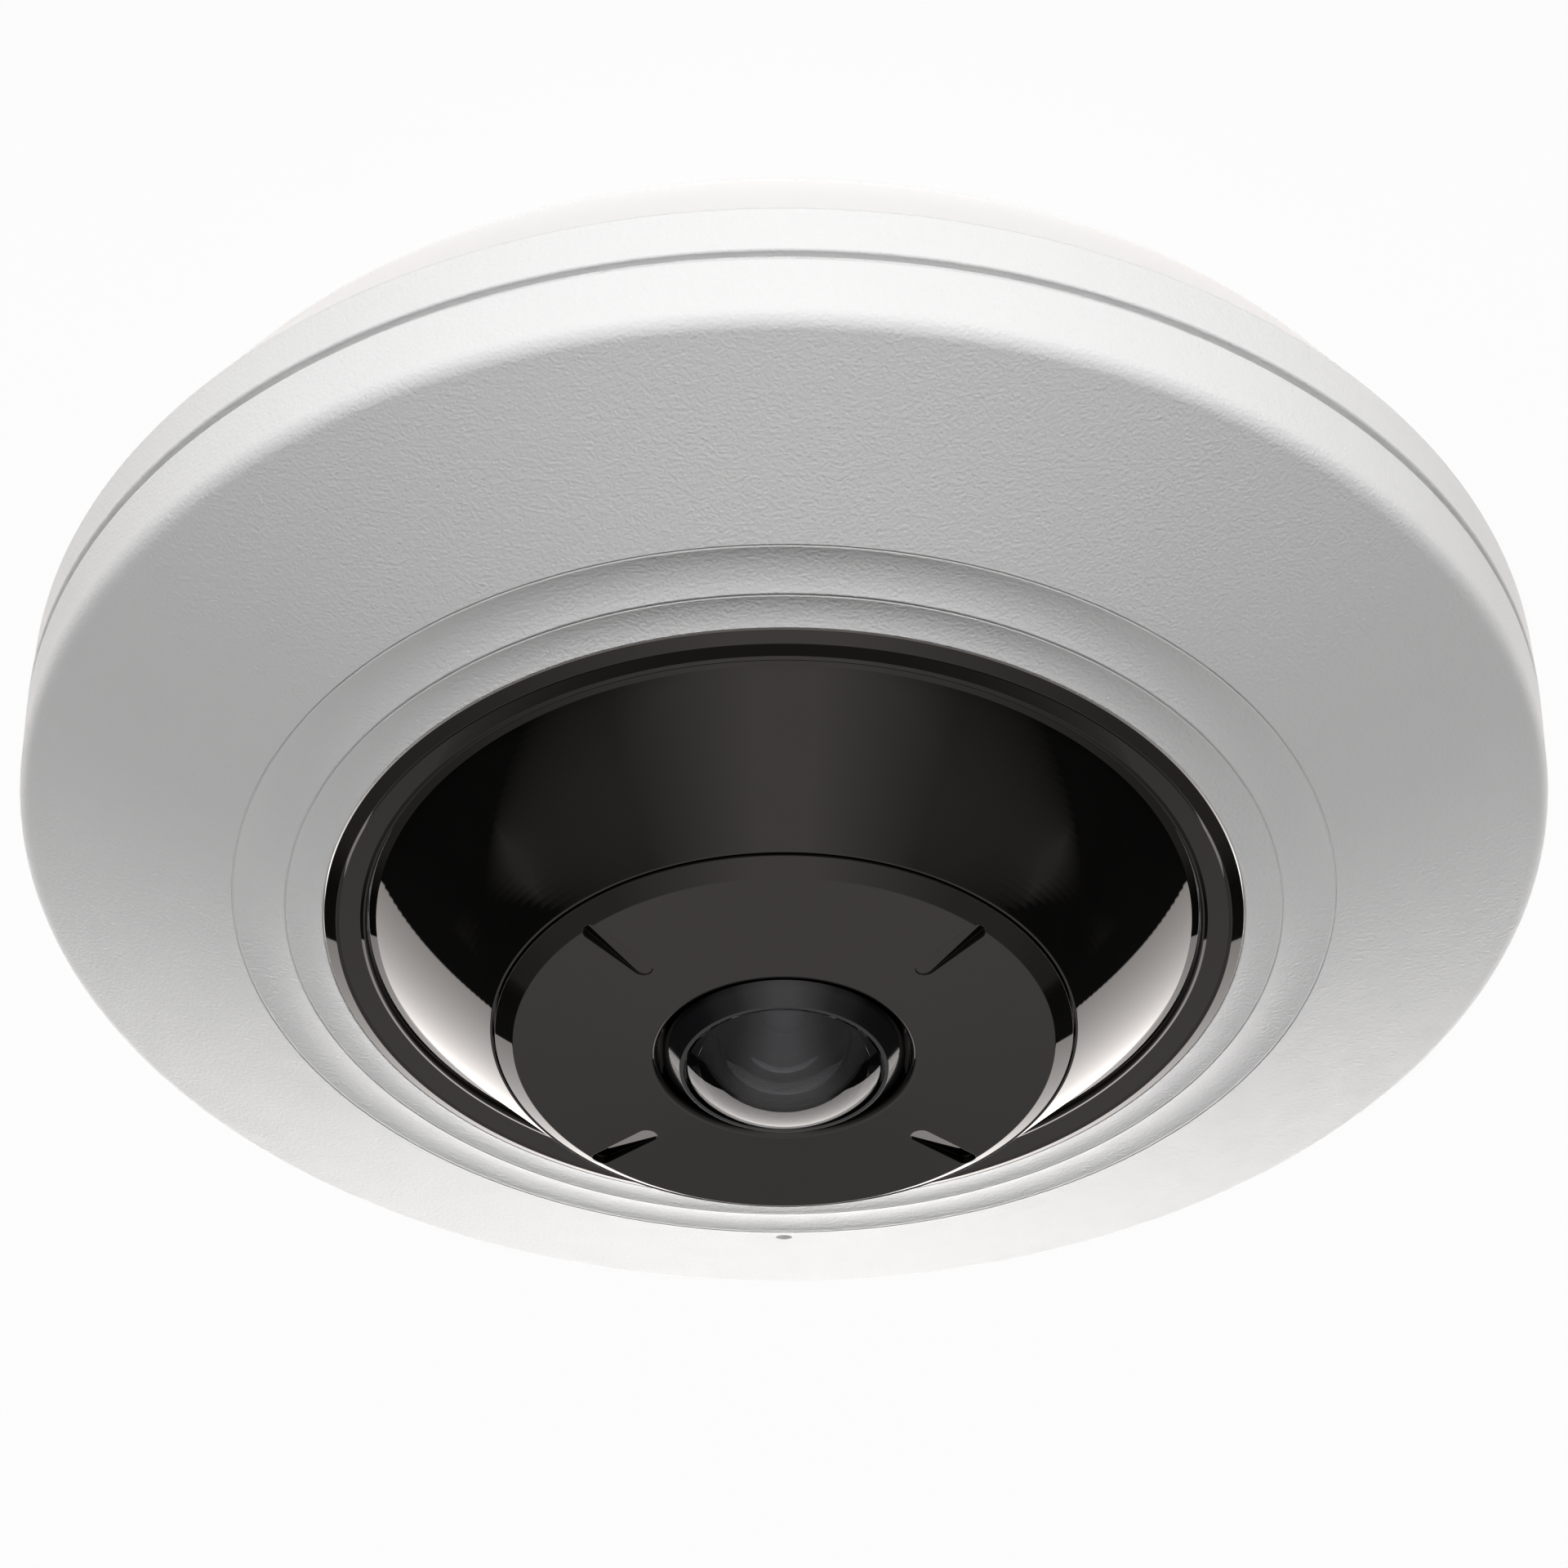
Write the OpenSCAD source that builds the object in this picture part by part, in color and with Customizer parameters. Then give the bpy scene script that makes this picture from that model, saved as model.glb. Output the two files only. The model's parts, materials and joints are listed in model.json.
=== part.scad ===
// Compact fisheye network camera, dome side up, standing on its mounting face.
// The origin is the centre of the mounting face and +Z runs out through the lens.
// The microphone hole is on the +Y side. All sizes are millimetres.

/* [Housing] */
// Wall of the white mouldings
wall = 2; // [1.7:0.1:2.2]
// How far the rear edge stands in from the side
rear_inset = 5.7; // [5.2:0.1:6.3]
// Height of the shoulder over the mounting face
shoulder_h = 8.5; // [7.5:0.1:9.5]
// How far the shoulder stands in from the side
shoulder_inset = 0.25; // [0.1:0.05:0.6]
// Height of the rear housing's rim
rim_h = 12.9; // [12:0.1:13.4]
// Open seam between the rim and the front cover
seam_gap = 0.95; // [0.6:0.05:1.2]
// Depth of that seam
seam_depth = 1.1; // [0.7:0.1:1.4]
// Floor of the rear housing
floor_t = 1.8; // [1.5:0.1:2.2]

/* [Front cover] */
// Width of the sloping face
face_w = 16.98; // [16.5:0.02:18]
// How far the face falls from its inner step to the side's corner
face_drop = 6.66; // [6:0.02:7.2]
// Rounding of the cover's edge
edge_round = 1.64; // [1:0.02:1.9]
// Radius of the opening for the dome
opening_r = 35.83; // [35.3:0.01:36.1]
// Width of the outer cove
cove_w = 4.21; // [3.8:0.01:4.6]
// Rise of the outer cove
cove_rise = 1.13; // [0.9:0.01:1.3]
// Width of the inner cove
inner_cove_w = 2.98; // [2.7:0.01:3.3]
// Rise of the inner cove
inner_cove_rise = 0.7; // [0.5:0.01:0.9]
// Radius of the microphone hole
mic_hole_r = 0.7; // [0.5:0.05:1]

/* [Dome] */
// Width of the black ring round the dome
ring_w = 3.33; // [3.1:0.01:3.6]
// How far the black ring stands over the opening's edge
ring_rise = 0.55; // [0.3:0.05:0.8]
// Open groove between the black ring and the infrared window
dome_gap = 0.4; // [0.2:0.05:0.6]
// Wall of the infrared window
window_t = 1.8; // [1.5:0.1:2]
// Height of the window's cone
window_rise = 10.22; // [9.9:0.02:10.8]
// How far the window's cone closes in
window_draw = 9.17; // [8.8:0.01:9.5]
// Rise of the front cap's face from its rim to the lens recess
cap_crown = 1.03; // [0.6:0.01:1.4]
// Radius of the recess round the lens
recess_r = 9.77; // [9.6:0.01:10.2]
// Width of the drain grooves
groove_w = 1.5; // [1:0.1:2]
// Depth of the drain grooves at their inner end
groove_depth = 0.25; // [0.15:0.05:0.4]

/* [Lens] */
// Radius of the lens thread
thread_r = 6; // [5.8:0.05:6.1]
// Radius of the front glass where it leaves its ring
glass_r = 7.46; // [7.3:0.01:7.6]
// How far the front glass bulges out
glass_bulge = 3.18; // [2.8:0.02:3.6]

/* [Mounting] */
// How far the mounting plate's edge stands in from the side
plate_inset = 13; // [12.8:0.1:14]
// Sheet of the mounting plate
plate_t = 1.5; // [1.2:0.1:1.8]
// Radius of the cable hole in the plate
cable_hole_r = 20; // [18:0.5:21]
// Radius of the circle of fixing screws
fixing_circle_r = 30; // [29:0.5:30.5]
// Radius of a fixing hole
fixing_hole_r = 2.2; // [1.8:0.1:2.4]
// Turn that locks the camera on its plate, in degrees
lock_turn = 20; // [15:1:24]

/* [Electronics] */
// Height of the network jack
jack_h = 11.6; // [11:0.1:12.4]
// Thickness of the boards
board_t = 1.6; // [1.2:0.1:1.8]
// Travel of the filter carriage
filter_travel = 6.4; // [6.1:0.1:6.6]
// Travel of the reset button
button_travel = 0.3; // [0.2:0.05:0.4]

/* [Hidden] */
$fn = 72;
arc_steps = 8;
over = 0.5;
fit = 0.02;

white = [0.93, 0.93, 0.92];
black = [0.07, 0.07, 0.07];
steel = [0.72, 0.73, 0.75];
board_green = [0.06, 0.3, 0.2];
rubber_black = [0.12, 0.12, 0.12];
glass_tint = [0.3, 0.3, 0.4, 0.6];

// Heights from the mounting face: plate, housing floor, boards
plate_lift = 2.4;
plate_gap = 0.3;
plate_top = plate_lift + plate_t;
floor_z = plate_top + plate_gap;
floor_top = floor_z + floor_t;
jack_gap = 0.1;
board_z = floor_top + jack_gap + jack_h;
board_top = board_z + board_t;
spacer_h = 3.2;
sensor_board_t = 1.2;
sensor_board_z = board_top + spacer_h;
sensor_board_top = sensor_board_z + sensor_board_t;

// Heights of the dome's clamp, flange, gasket and opening
clamp_gap = 2.9;
clamp_t = 1.4;
flange_t = 1.6;
dome_gasket_t = 0.6;
lip_t = 2.28;
clamp_z = board_top + clamp_gap;
flange_z = clamp_z + clamp_t;
flange_top = flange_z + flange_t;
seat_h = flange_top + dome_gasket_t;
opening_h = seat_h + lip_t;

// Outline of the white mouldings, from the dome's opening outwards
cove_r = opening_r + inner_cove_w;
face_r = cove_r + cove_w;
cover_r = face_r + face_w;
rear_r = cover_r - rear_inset;
shoulder_r = cover_r - shoulder_inset;
ledge_r = cover_r - seam_depth;
seam_top = rim_h + seam_gap;
skirt_lean = (shoulder_r - rear_r) / shoulder_h;
tongue_fit = 0.1;
tongue_w = 1.8;
tongue_h = 2;
tongue_r = cover_r - wall - tongue_fit;
tongue_in = tongue_r - tongue_w;
tongue_top = seam_top + tongue_h;
cove_h = opening_h - inner_cove_rise;
face_h = cove_h - cove_rise;
corner_h = face_h - face_drop;
face_fall = face_drop / face_w;
face_angle = atan(face_fall);
edge_run = edge_round * tan((90 - face_angle) / 2);
function face_z(r) = corner_h + (cover_r - r) * face_fall;
function inner_face_z(r) = face_z(r) - wall / cos(face_angle);
seat_r = cover_r - (seat_h - inner_face_z(cover_r)) / face_fall;

// Outline of the black dome
ring_fit = 0.06;
ring_r = opening_r - ring_fit;
foot_r = ring_r - ring_w - dome_gap;
foot_drop = 0.18;
foot_step = 0.31;
flange_w = 2.77;
flange_r = opening_r + flange_w;
window_r = foot_r - foot_step;
window_top_r = window_r - window_draw;
window_top = opening_h + window_rise;
window_angle = atan(window_rise / window_draw);
window_shift = window_t / sin(window_angle);
lip_w = 0.18;
lip_r = window_top_r - lip_w;
cap_seat_depth = 1.1;
cap_seat_w = 1.3;
cap_seat_z = window_top - cap_seat_depth;
cap_gap = 0.17;
cap_r = lip_r - cap_gap;
cap_edge_rise = 0.16;
cap_chamfer_w = 1.4;
cap_chamfer_h = 1;
cap_face_r = cap_r - cap_chamfer_w;
cap_rim_z = window_top + cap_edge_rise + cap_chamfer_h;
recess_round = 0.52;
recess_edge_r = recess_r + recess_round;
cap_fall = cap_crown / (cap_face_r - recess_edge_r);
function cap_z(r) = cap_rim_z + (cap_face_r - r) * cap_fall;
cap_top = cap_z(recess_edge_r);
recess_depth = 2.49;
shelf_z = cap_top - recess_depth;
collar_t = 1.6;
collar_z = shelf_z - collar_t;

// Outline of the lens
glass_gap = 0.2;
bezel_rise = 1.13;
bezel_play = 0.47;
bezel_r = recess_r - bezel_play;
bezel_top = cap_top + bezel_rise;
bezel_lip_t = 1.02;
bezel_lip_r = glass_r + glass_gap;
bezel_lip_z = bezel_top - bezel_lip_t;
glass_flange_w = 0.88;
glass_flange_t = 1.2;
glass_flange_r = glass_r + glass_flange_w;
glass_seat_z = bezel_lip_z - glass_flange_t;
barrel_l = 9.2;
barrel_z = glass_seat_z - barrel_l;

// Points of an arc about a centre
function arc(c, r, from, to) = [
  for (i = [0:arc_steps]) let (a = from + (to - from) * i / arc_steps) c + r * [cos(a), sin(a)]
];

// A cove that leaves its outer end level and steepens up to its inner end, without its first point
function cove(outer, run, rise) =
  let (bow = (run * run + rise * rise) / (2 * rise), last = 2 * atan(rise / run))
  [for (i = [1:arc_steps]) let (a = last * i / arc_steps) outer + bow * [-sin(a), 1 - cos(a)]];

// Radius of the sphere whose cap has a given base and bulge
function cap_sphere(base, bulge) = (base * base + bulge * bulge) / (2 * bulge);

module tube(outer, inner, low, high) {
  difference() {
    rod(outer, low, high);
    rod(inner, low - over, high + over);
  }
}

module rod(r, low, high) {
  translate([0, 0, low]) cylinder(r = r, h = high - low);
}

module block(low, high) {
  translate(low) cube(high - low);
}

module around(r, angles) {
  for (a = angles) rotate(a) translate([r, 0, 0]) children();
}

// A screw along +Z from its tip to under its head, with a cross slot, or the same turned over
slot_share = 0.3;
module screw(shank_r, l, head_r, head_h) {
  slot = head_r * slot_share;
  cylinder(r = shank_r, h = l + fit);
  difference() {
    rod(head_r, l, l + head_h);
    for (turn = [0, 90]) rotate(turn)
      block([slot - head_r, -slot / 2, l + head_h / 2], [head_r - slot, slot / 2, l + head_h + over]);
  }
}

// Places of the boards, screws and studs
board_inset = 5.02;
board_r = face_r - board_inset;
plate_r = cover_r - plate_inset;
stud_inset = 9;
stud_circle_r = plate_r - stud_inset;
stud_angles = [90, 210, 330];
fixing_angles = [30, 150, 270];
cover_screw_inset = 8.8;
cover_screw_circle_r = cover_r - cover_screw_inset;
cover_screw_angles = [30, 150, 270];
arch_angles = [90, 210, 330];
board_screw_inset = 4;
board_screw_circle_r = board_r - board_screw_inset;
corner_angles = [45, 135, 225, 315];

// Studs, their keyholes and the plate's fixing pads
stud_shank_r = 2.3;
stud_head_r = 3.9;
stud_head_h = 1.35;
stud_head_gap = 0.35;
stud_thread_r = 1.5;
stud_thread_l = 3.6;
slot_play = 0.2;
slot_end_play = 0.05;
keyhole_play = 0.5;
pad_r = 5.5;
plate_rim_t = 1.4;
sink_w = 2;
sink_depth = 2;

module keyhole() {
  slot_r = stud_shank_r + slot_play;
  low = plate_lift - over;
  high = plate_top + over;
  rotate(-lock_turn) translate([stud_circle_r, 0, 0]) rod(stud_head_r + keyhole_play, low, high);
  rotate(-lock_turn) rotate_extrude(angle = lock_turn)
    translate([stud_circle_r - slot_r, low]) square([2 * slot_r, high - low]);
  translate([stud_circle_r, 0, 0]) rod(slot_r + slot_end_play, low, high);
}

module mounting_plate() {
  color(steel) difference() {
    union() {
      rod(plate_r, plate_lift, plate_top);
      tube(plate_r, plate_r - plate_rim_t, 0, plate_lift + fit);
      around(fixing_circle_r, fixing_angles) rod(pad_r, 0, plate_lift + fit);
    }
    rod(cable_hole_r, -over, plate_top + over);
    around(fixing_circle_r, fixing_angles) {
      rod(fixing_hole_r, -over, plate_top + over);
      translate([0, 0, plate_top - sink_depth])
        cylinder(r1 = fixing_hole_r, r2 = fixing_hole_r + sink_w, h = sink_depth + fit);
    }
    for (a = stud_angles) rotate(a) keyhole();
  }
}

module mount_studs() {
  head_top = plate_lift - stud_head_gap;
  color(steel) around(stud_circle_r, stud_angles) {
    rod(stud_head_r, head_top - stud_head_h, head_top);
    rod(stud_shank_r, head_top - fit, floor_z);
    rod(stud_thread_r, floor_z - fit, floor_z + stud_thread_l);
  }
}

// Jacks in the cable well: each is [low x, width, length, height]
net_jack_x = -14;
net_jack_w = 16;
net_jack_l = 19;
power_jack_x = 5;
power_jack_w = 9;
power_jack_l = 13;
power_jack_h = 11;

// Rear housing
well_half_w = 15;
well_back = 12;
well_front = 26;
well_wall = 1.4;
well_roof_t = 1.3;
well_roof_gap = 0.2;
well_top = board_z - well_roof_gap;
jack_play = 0.1;
plate_play = 0.4;
plate_wall_t = 1.4;
plate_wall_foot = 0.4;
plate_wall_r = plate_r + plate_play;
cover_post_r = 3.2;
cover_screw_r = 1.4;
cover_screw_l = 14.2;
cover_screw_head_r = 2;
cover_screw_head_h = 1.6;
board_post_r = 3;
board_screw_r = 1.2;
board_screw_l = 7.6;
board_screw_head_r = 2.3;
board_screw_head_h = 1.5;
stud_boss_r = 3.4;
stud_boss_h = 2.4;
lock_z = floor_z / 2;
lock_boss_r = 1.9;
lock_boss_l = 3.2;
lock_screw_r = 1.25;
lock_screw_l = 5;
lock_screw_gap = 0.35;
lock_key_r = 0.6;
lock_access_r = 1.5;

module along_y(r, y, l) {
  translate([0, y, 0]) rotate([-90, 0, 0]) cylinder(r = r, h = l);
}

module housing_shell() {
  rotate_extrude() polygon([
    [0, floor_z], [plate_wall_r, floor_z], [plate_wall_r, plate_wall_foot],
    [plate_wall_r + plate_wall_t, plate_wall_foot], [plate_wall_r + plate_wall_t, floor_z],
    [rear_r - wall + skirt_lean * floor_z, floor_z], [rear_r - wall, 0], [rear_r, 0],
    [shoulder_r, shoulder_h], [cover_r, rim_h], [ledge_r, rim_h], [ledge_r, seam_top],
    [tongue_r, seam_top], [tongue_r, tongue_top], [tongue_in, tongue_top],
    [tongue_in, floor_top], [0, floor_top]
  ]);
}

module jack_window(x, w, h) {
  block([x - jack_play, -well_back - well_wall - over, board_z - h - jack_play],
        [x + w + jack_play, -well_back + fit, board_z + over]);
}

module rear_housing() {
  color(white) difference() {
    union() {
      housing_shell();
      around(cover_screw_circle_r, cover_screw_angles) rod(cover_post_r, floor_top - fit, rim_h);
      around(board_screw_circle_r, corner_angles) rod(board_post_r, floor_top - fit, board_z);
      around(stud_circle_r, stud_angles) rod(stud_boss_r, floor_top - fit, floor_top + stud_boss_h);
      block([-well_half_w - well_wall, -well_back - well_wall, floor_top - fit],
            [well_half_w + well_wall, well_front + well_wall, well_top]);
      translate([0, 0, lock_z]) along_y(lock_boss_r, plate_wall_r + fit, plate_wall_t + lock_boss_l);
    }
    block([-well_half_w, -well_back, -over], [well_half_w, well_front, well_top - well_roof_t]);
    jack_window(net_jack_x, net_jack_w, jack_h);
    jack_window(power_jack_x, power_jack_w, power_jack_h);
    around(cover_screw_circle_r, cover_screw_angles) rod(cover_screw_r + fit, floor_z - over, rim_h + over);
    around(board_screw_circle_r, corner_angles)
      rod(board_screw_r + fit, board_top - board_screw_l - over, board_z + over);
    around(stud_circle_r, stud_angles)
      rod(stud_thread_r + fit, floor_z - over, floor_z + stud_thread_l + fit);
    translate([0, 0, lock_z]) {
      along_y(lock_screw_r + fit, plate_r, lock_screw_l + over);
      along_y(lock_access_r, rear_r - wall, wall + rear_inset);
    }
  }
}

module lock_screw() {
  start = plate_r + lock_screw_gap;
  color(steel) translate([0, 0, lock_z]) difference() {
    along_y(lock_screw_r, start, lock_screw_l);
    along_y(lock_key_r, start + lock_screw_l / 2, lock_screw_l);
  }
}

module cover_screws() {
  color(steel) around(cover_screw_circle_r, cover_screw_angles)
    translate([0, 0, floor_z + cover_screw_l]) rotate([180, 0, 0])
      screw(cover_screw_r, cover_screw_l, cover_screw_head_r, cover_screw_head_h);
}

// Front cover
boss_tip = 0.3;
cover_pilot_over = 0.4;
gasket_t = 0.8;
gasket_rib_inset = 0.3;
clamp_boss_r = 2.4;
clamp_boss_gap = 0.3;
clamp_circle_r = flange_r + clamp_boss_gap + clamp_boss_r;
clamp_screw_r = 1;
clamp_screw_l = 3.1;
clamp_screw_head_r = 1.9;
clamp_screw_head_h = 1.2;
mic_place_step = 1.58;
mic_place_r = face_r + mic_place_step;
mic_boss_r = 4.1;
mic_boss_rim = 0.2;
mic_boss_z = inner_face_z(mic_place_r + mic_boss_r) - mic_boss_rim;

function cover_outline() = concat(
  [[cover_r, seam_top]],
  arc([cover_r - edge_round, corner_h - edge_run], edge_round, 0, 90 - face_angle),
  [[face_r, face_h]],
  cove([face_r, face_h], cove_w, cove_rise),
  cove([cove_r, cove_h], inner_cove_w, inner_cove_rise)
);

module front_cover() {
  color(white) difference() {
    union() {
      rotate_extrude() polygon(concat(cover_outline(), [
        [opening_r, seat_h], [seat_r, seat_h],
        [cover_r - wall, inner_face_z(cover_r - wall)], [cover_r - wall, seam_top]
      ]));
      intersection() {
        union() {
          around(cover_screw_circle_r, cover_screw_angles)
            rod(cover_post_r, rim_h, inner_face_z(cover_screw_circle_r) + wall / 2);
          around(clamp_circle_r, corner_angles) rod(clamp_boss_r, flange_z, seat_h + boss_tip);
          translate([0, mic_place_r, 0]) rod(mic_boss_r, mic_boss_z, face_z(mic_place_r) - boss_tip);
          tube(tongue_r - gasket_rib_inset, tongue_in + gasket_rib_inset,
               tongue_top + gasket_t, inner_face_z(tongue_r) + wall / 2);
        }
        rotate_extrude()
          polygon(concat(cover_outline(), [[0, opening_h], [0, floor_z], [cover_r, floor_z]]));
      }
    }
    around(cover_screw_circle_r, cover_screw_angles)
      rod(cover_screw_r + fit, rim_h - over, floor_z + cover_screw_l + cover_pilot_over);
    around(clamp_circle_r, corner_angles)
      rod(clamp_screw_r + fit, flange_z - over, clamp_z + clamp_screw_l + fit);
    translate([0, mic_place_r, 0]) rod(mic_hole_r, mic_boss_z - over, opening_h);
  }
}

module cover_gasket() {
  color(rubber_black) tube(tongue_r, tongue_in, tongue_top, tongue_top + gasket_t);
}

// Black ring: across from its outer edge in shares of ring_w, up in shares of ring_rise
ring_shares = [[0, -0.33], [0.12, -0.07], [0.28, 1], [0.355, 0.8], [0.79, 0.25],
               [0.83, 0.42], [0.89, 0.52], [0.95, 0.42], [1, 0.05]];

module dome_ring() {
  color(black) rotate_extrude() polygon(concat(
    [[ring_r - ring_w, flange_top], [ring_r, flange_top]],
    [for (s = ring_shares) [ring_r - ring_w * s[0], opening_h + ring_rise * s[1]]]
  ));
}

// Infrared window
cap_seat_t = 1.3;
foot_in_r = foot_r - window_t;
function window_in_r(z) = window_r - window_shift - (z - opening_h) / tan(window_angle);
knee_z = opening_h + (window_r - window_shift - foot_in_r) * tan(window_angle);

module ir_window() {
  under_seat_z = cap_seat_z - cap_seat_t;
  color(black) rotate_extrude() polygon([
    [foot_in_r, flange_z], [flange_r, flange_z], [flange_r, flange_top], [foot_r, flange_top],
    [foot_r, opening_h - foot_drop], [window_r, opening_h], [window_top_r, window_top],
    [lip_r, window_top], [lip_r, cap_seat_z], [lip_r - cap_seat_w, cap_seat_z],
    [lip_r - cap_seat_w, under_seat_z], [window_in_r(under_seat_z), under_seat_z],
    [foot_in_r, knee_z]
  ]);
}

// Front cap
cap_t = 1.8;
cap_skirt_w = 1.6;
collar_in_r = 8.5;
collar_out_r = 11.4;
groove_start_share = 0.381;
groove_start_r = recess_edge_r + groove_start_share * (cap_face_r - recess_edge_r);
groove_reach = 0.2;
groove_lean = 5;

module drain_groove() {
  l = cap_face_r + groove_reach - groove_start_r - groove_w;
  translate([groove_start_r + groove_w / 2, 0, cap_z(groove_start_r) - groove_depth])
    rotate([0, atan(cap_fall) + groove_lean, 0]) {
      rod(groove_w / 2, 0, cap_t);
      translate([l, 0, 0]) rod(groove_w / 2, 0, cap_t);
      block([0, -groove_w / 2, 0], [l, groove_w / 2, cap_t]);
    }
}

module front_cap() {
  skirt_r = cap_r - cap_skirt_w;
  color(black) difference() {
    rotate_extrude() polygon(concat(
      [[skirt_r, cap_seat_z], [cap_r, cap_seat_z], [cap_r, window_top + cap_edge_rise],
       [cap_face_r, cap_rim_z]],
      arc([recess_edge_r, cap_top - recess_round], recess_round, 90, 180),
      [[recess_r, shelf_z], [collar_in_r, shelf_z], [collar_in_r, collar_z],
       [collar_out_r, collar_z], [collar_out_r, cap_z(collar_out_r) - cap_t],
       [skirt_r, cap_z(skirt_r) - cap_t]]
    ));
    for (a = corner_angles) rotate(a) drain_groove();
  }
}

// Gasket, clamp ring and its screws
dome_gasket_inset = 0.4;
dome_gasket_edge = 0.2;
clamp_inset = 0.76;
clamp_overhang = 0.6;
clamp_in_r = foot_in_r + clamp_inset;
clamp_out_r = flange_r + clamp_overhang;

module dome_gasket() {
  color(rubber_black)
    tube(flange_r - dome_gasket_edge, opening_r + dome_gasket_inset, flange_top, seat_h);
}

module dome_clamp() {
  color(steel) difference() {
    union() {
      rod(clamp_out_r, clamp_z, flange_z);
      around(clamp_circle_r, corner_angles) rod(clamp_boss_r, clamp_z, flange_z);
    }
    rod(clamp_in_r, clamp_z - over, flange_z + over);
    around(clamp_circle_r, corner_angles) rod(clamp_screw_r + fit, clamp_z - over, flange_z + over);
  }
}

module clamp_screws() {
  color(steel) around(clamp_circle_r, corner_angles)
    translate([0, 0, clamp_z + clamp_screw_l]) rotate([180, 0, 0])
      screw(clamp_screw_r, clamp_screw_l, clamp_screw_head_r, clamp_screw_head_h);
}

// Lens ring and glasses
bezel_cone_h = 1.57;
bezel_rim_w = 0.34;
bezel_bore_play = 0.02;
glass_edge_drop = 0.1;
glass_centre_t = 2.1;
glass_hollow_r = 6.2;
mid_seat_drop = 2.5;
mid_bore_r = 5.42;
mid_seat_z = glass_seat_z - mid_seat_drop;
mid_edge_t = 0.8;
mid_bulge = 2.9;
mid_centre_t = 1.4;
mid_hollow_r = 4;
barrel_head_r = 8.3;
barrel_head_h = 2.8;
cell_bore_r = 4.6;
barrel_lip_r = 3.6;
barrel_lip_t = 1.2;
rear_cell_h = 4.2;
rear_bulge = 0.8;
rear_bulge_r = 3.5;
stop_t = 0.4;
stop_hole_r = 1.2;

module lens_bezel() {
  bore_r = glass_flange_r + bezel_bore_play;
  color(black) rotate_extrude() polygon([
    [bore_r, shelf_z], [bezel_r, shelf_z], [bezel_r, bezel_top - bezel_cone_h],
    [bezel_lip_r + bezel_rim_w, bezel_top], [bezel_lip_r, bezel_top],
    [bezel_lip_r, bezel_lip_z], [bore_r, bezel_lip_z]
  ]);
}

// A meniscus: flat seat, straight edge, bulging front and hollow back
module meniscus(edge_r, edge_z, bulge, centre_t, hollow_r, seat_z, steps) {
  front_r = cap_sphere(edge_r, bulge);
  front_c = edge_z + bulge - front_r;
  hollow_c = edge_z + bulge - centre_t - hollow_r;
  rotate_extrude() polygon(concat(
    arc([0, hollow_c], hollow_r, 90, asin((seat_z - hollow_c) / hollow_r)),
    steps,
    arc([0, front_c], front_r, asin((edge_z - front_c) / front_r), 90)
  ));
}

module lens_front() {
  color(glass_tint) meniscus(glass_r, bezel_top - glass_edge_drop, glass_bulge, glass_centre_t,
    glass_hollow_r, glass_seat_z,
    [[glass_flange_r, glass_seat_z], [glass_flange_r, bezel_lip_z], [glass_r, bezel_lip_z]]);
}

module lens_middle() {
  edge_r = mid_bore_r - fit;
  color(glass_tint) meniscus(edge_r, mid_seat_z + mid_edge_t, mid_bulge, mid_centre_t,
    mid_hollow_r, mid_seat_z, [[edge_r, mid_seat_z]]);
}

module lens_barrel() {
  color(black) rotate_extrude() polygon([
    [barrel_lip_r, barrel_z], [thread_r, barrel_z], [thread_r, glass_seat_z - barrel_head_h],
    [barrel_head_r, glass_seat_z - barrel_head_h], [barrel_head_r, glass_seat_z],
    [mid_bore_r, glass_seat_z], [mid_bore_r, mid_seat_z], [cell_bore_r, mid_seat_z],
    [cell_bore_r, barrel_z + barrel_lip_t], [barrel_lip_r, barrel_z + barrel_lip_t]
  ]);
}

module lens_rear() {
  seat = barrel_z + barrel_lip_t;
  bulge_r = cap_sphere(rear_bulge_r, rear_bulge);
  color(glass_tint) rotate_extrude() polygon(concat(
    arc([0, seat - rear_bulge + bulge_r], bulge_r, -90, asin(rear_bulge_r / bulge_r) - 90),
    [[cell_bore_r - fit, seat], [cell_bore_r - fit, seat + rear_cell_h], [0, seat + rear_cell_h]]
  ));
}

module aperture_stop() {
  low = barrel_z + barrel_lip_t + rear_cell_h;
  color(black) tube(cell_bore_r - fit, stop_hole_r, low, low + stop_t);
}

// Filter switch, on the sensor board under the lens
frame_h = 5.5;
frame_half_l = 12;
frame_half_w = 9;
frame_side_w = 9.5;
frame_top = sensor_board_top + frame_h;
sensor_room_x = 6.5;
sensor_room_y = 6;
sensor_room_h = 2.3;
channel_low = 2.9;
channel_h = 1.6;
channel_play = 0.6;
run_gap = 0.3;
light_hole_r = 4;
light_hole_half = 3;
carriage_gap = 0.2;
carriage_half_w = 3.9;
carriage_end = 3.9;
carriage_low = sensor_board_top + channel_low + carriage_gap;
carriage_top = sensor_board_top + channel_low + channel_h - carriage_gap;
filter_t = 0.5;
filter_half_l = 2.8;
filter_half_w = 3.1;
filter_rim = 0.4;
swing_half = 25;
pin_mid_y = 6;
pin_r = 0.6;
pin_play = 0.12;
arm_l = filter_travel / 2 / sin(swing_half);
arm_w = 1.6;
arm_t = 0.6;
arm_lift = 0.4;
rotor_y = -pin_mid_y - arm_l;
rotor_r = 2.2;
pivot_r = 0.8;
pivot_play = 0.06;
bay_half_w = 7;
bay_floor_t = 1.5;
bay_back = 2.9;
ear_half_w = 1.9;
ear_end = 1.5;
ear_room_half = 5.6;
rotor_low_gap = 0.3;
coil_gap = 0.8;
coil_w = 3.5;
coil_l = 5.6;

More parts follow.
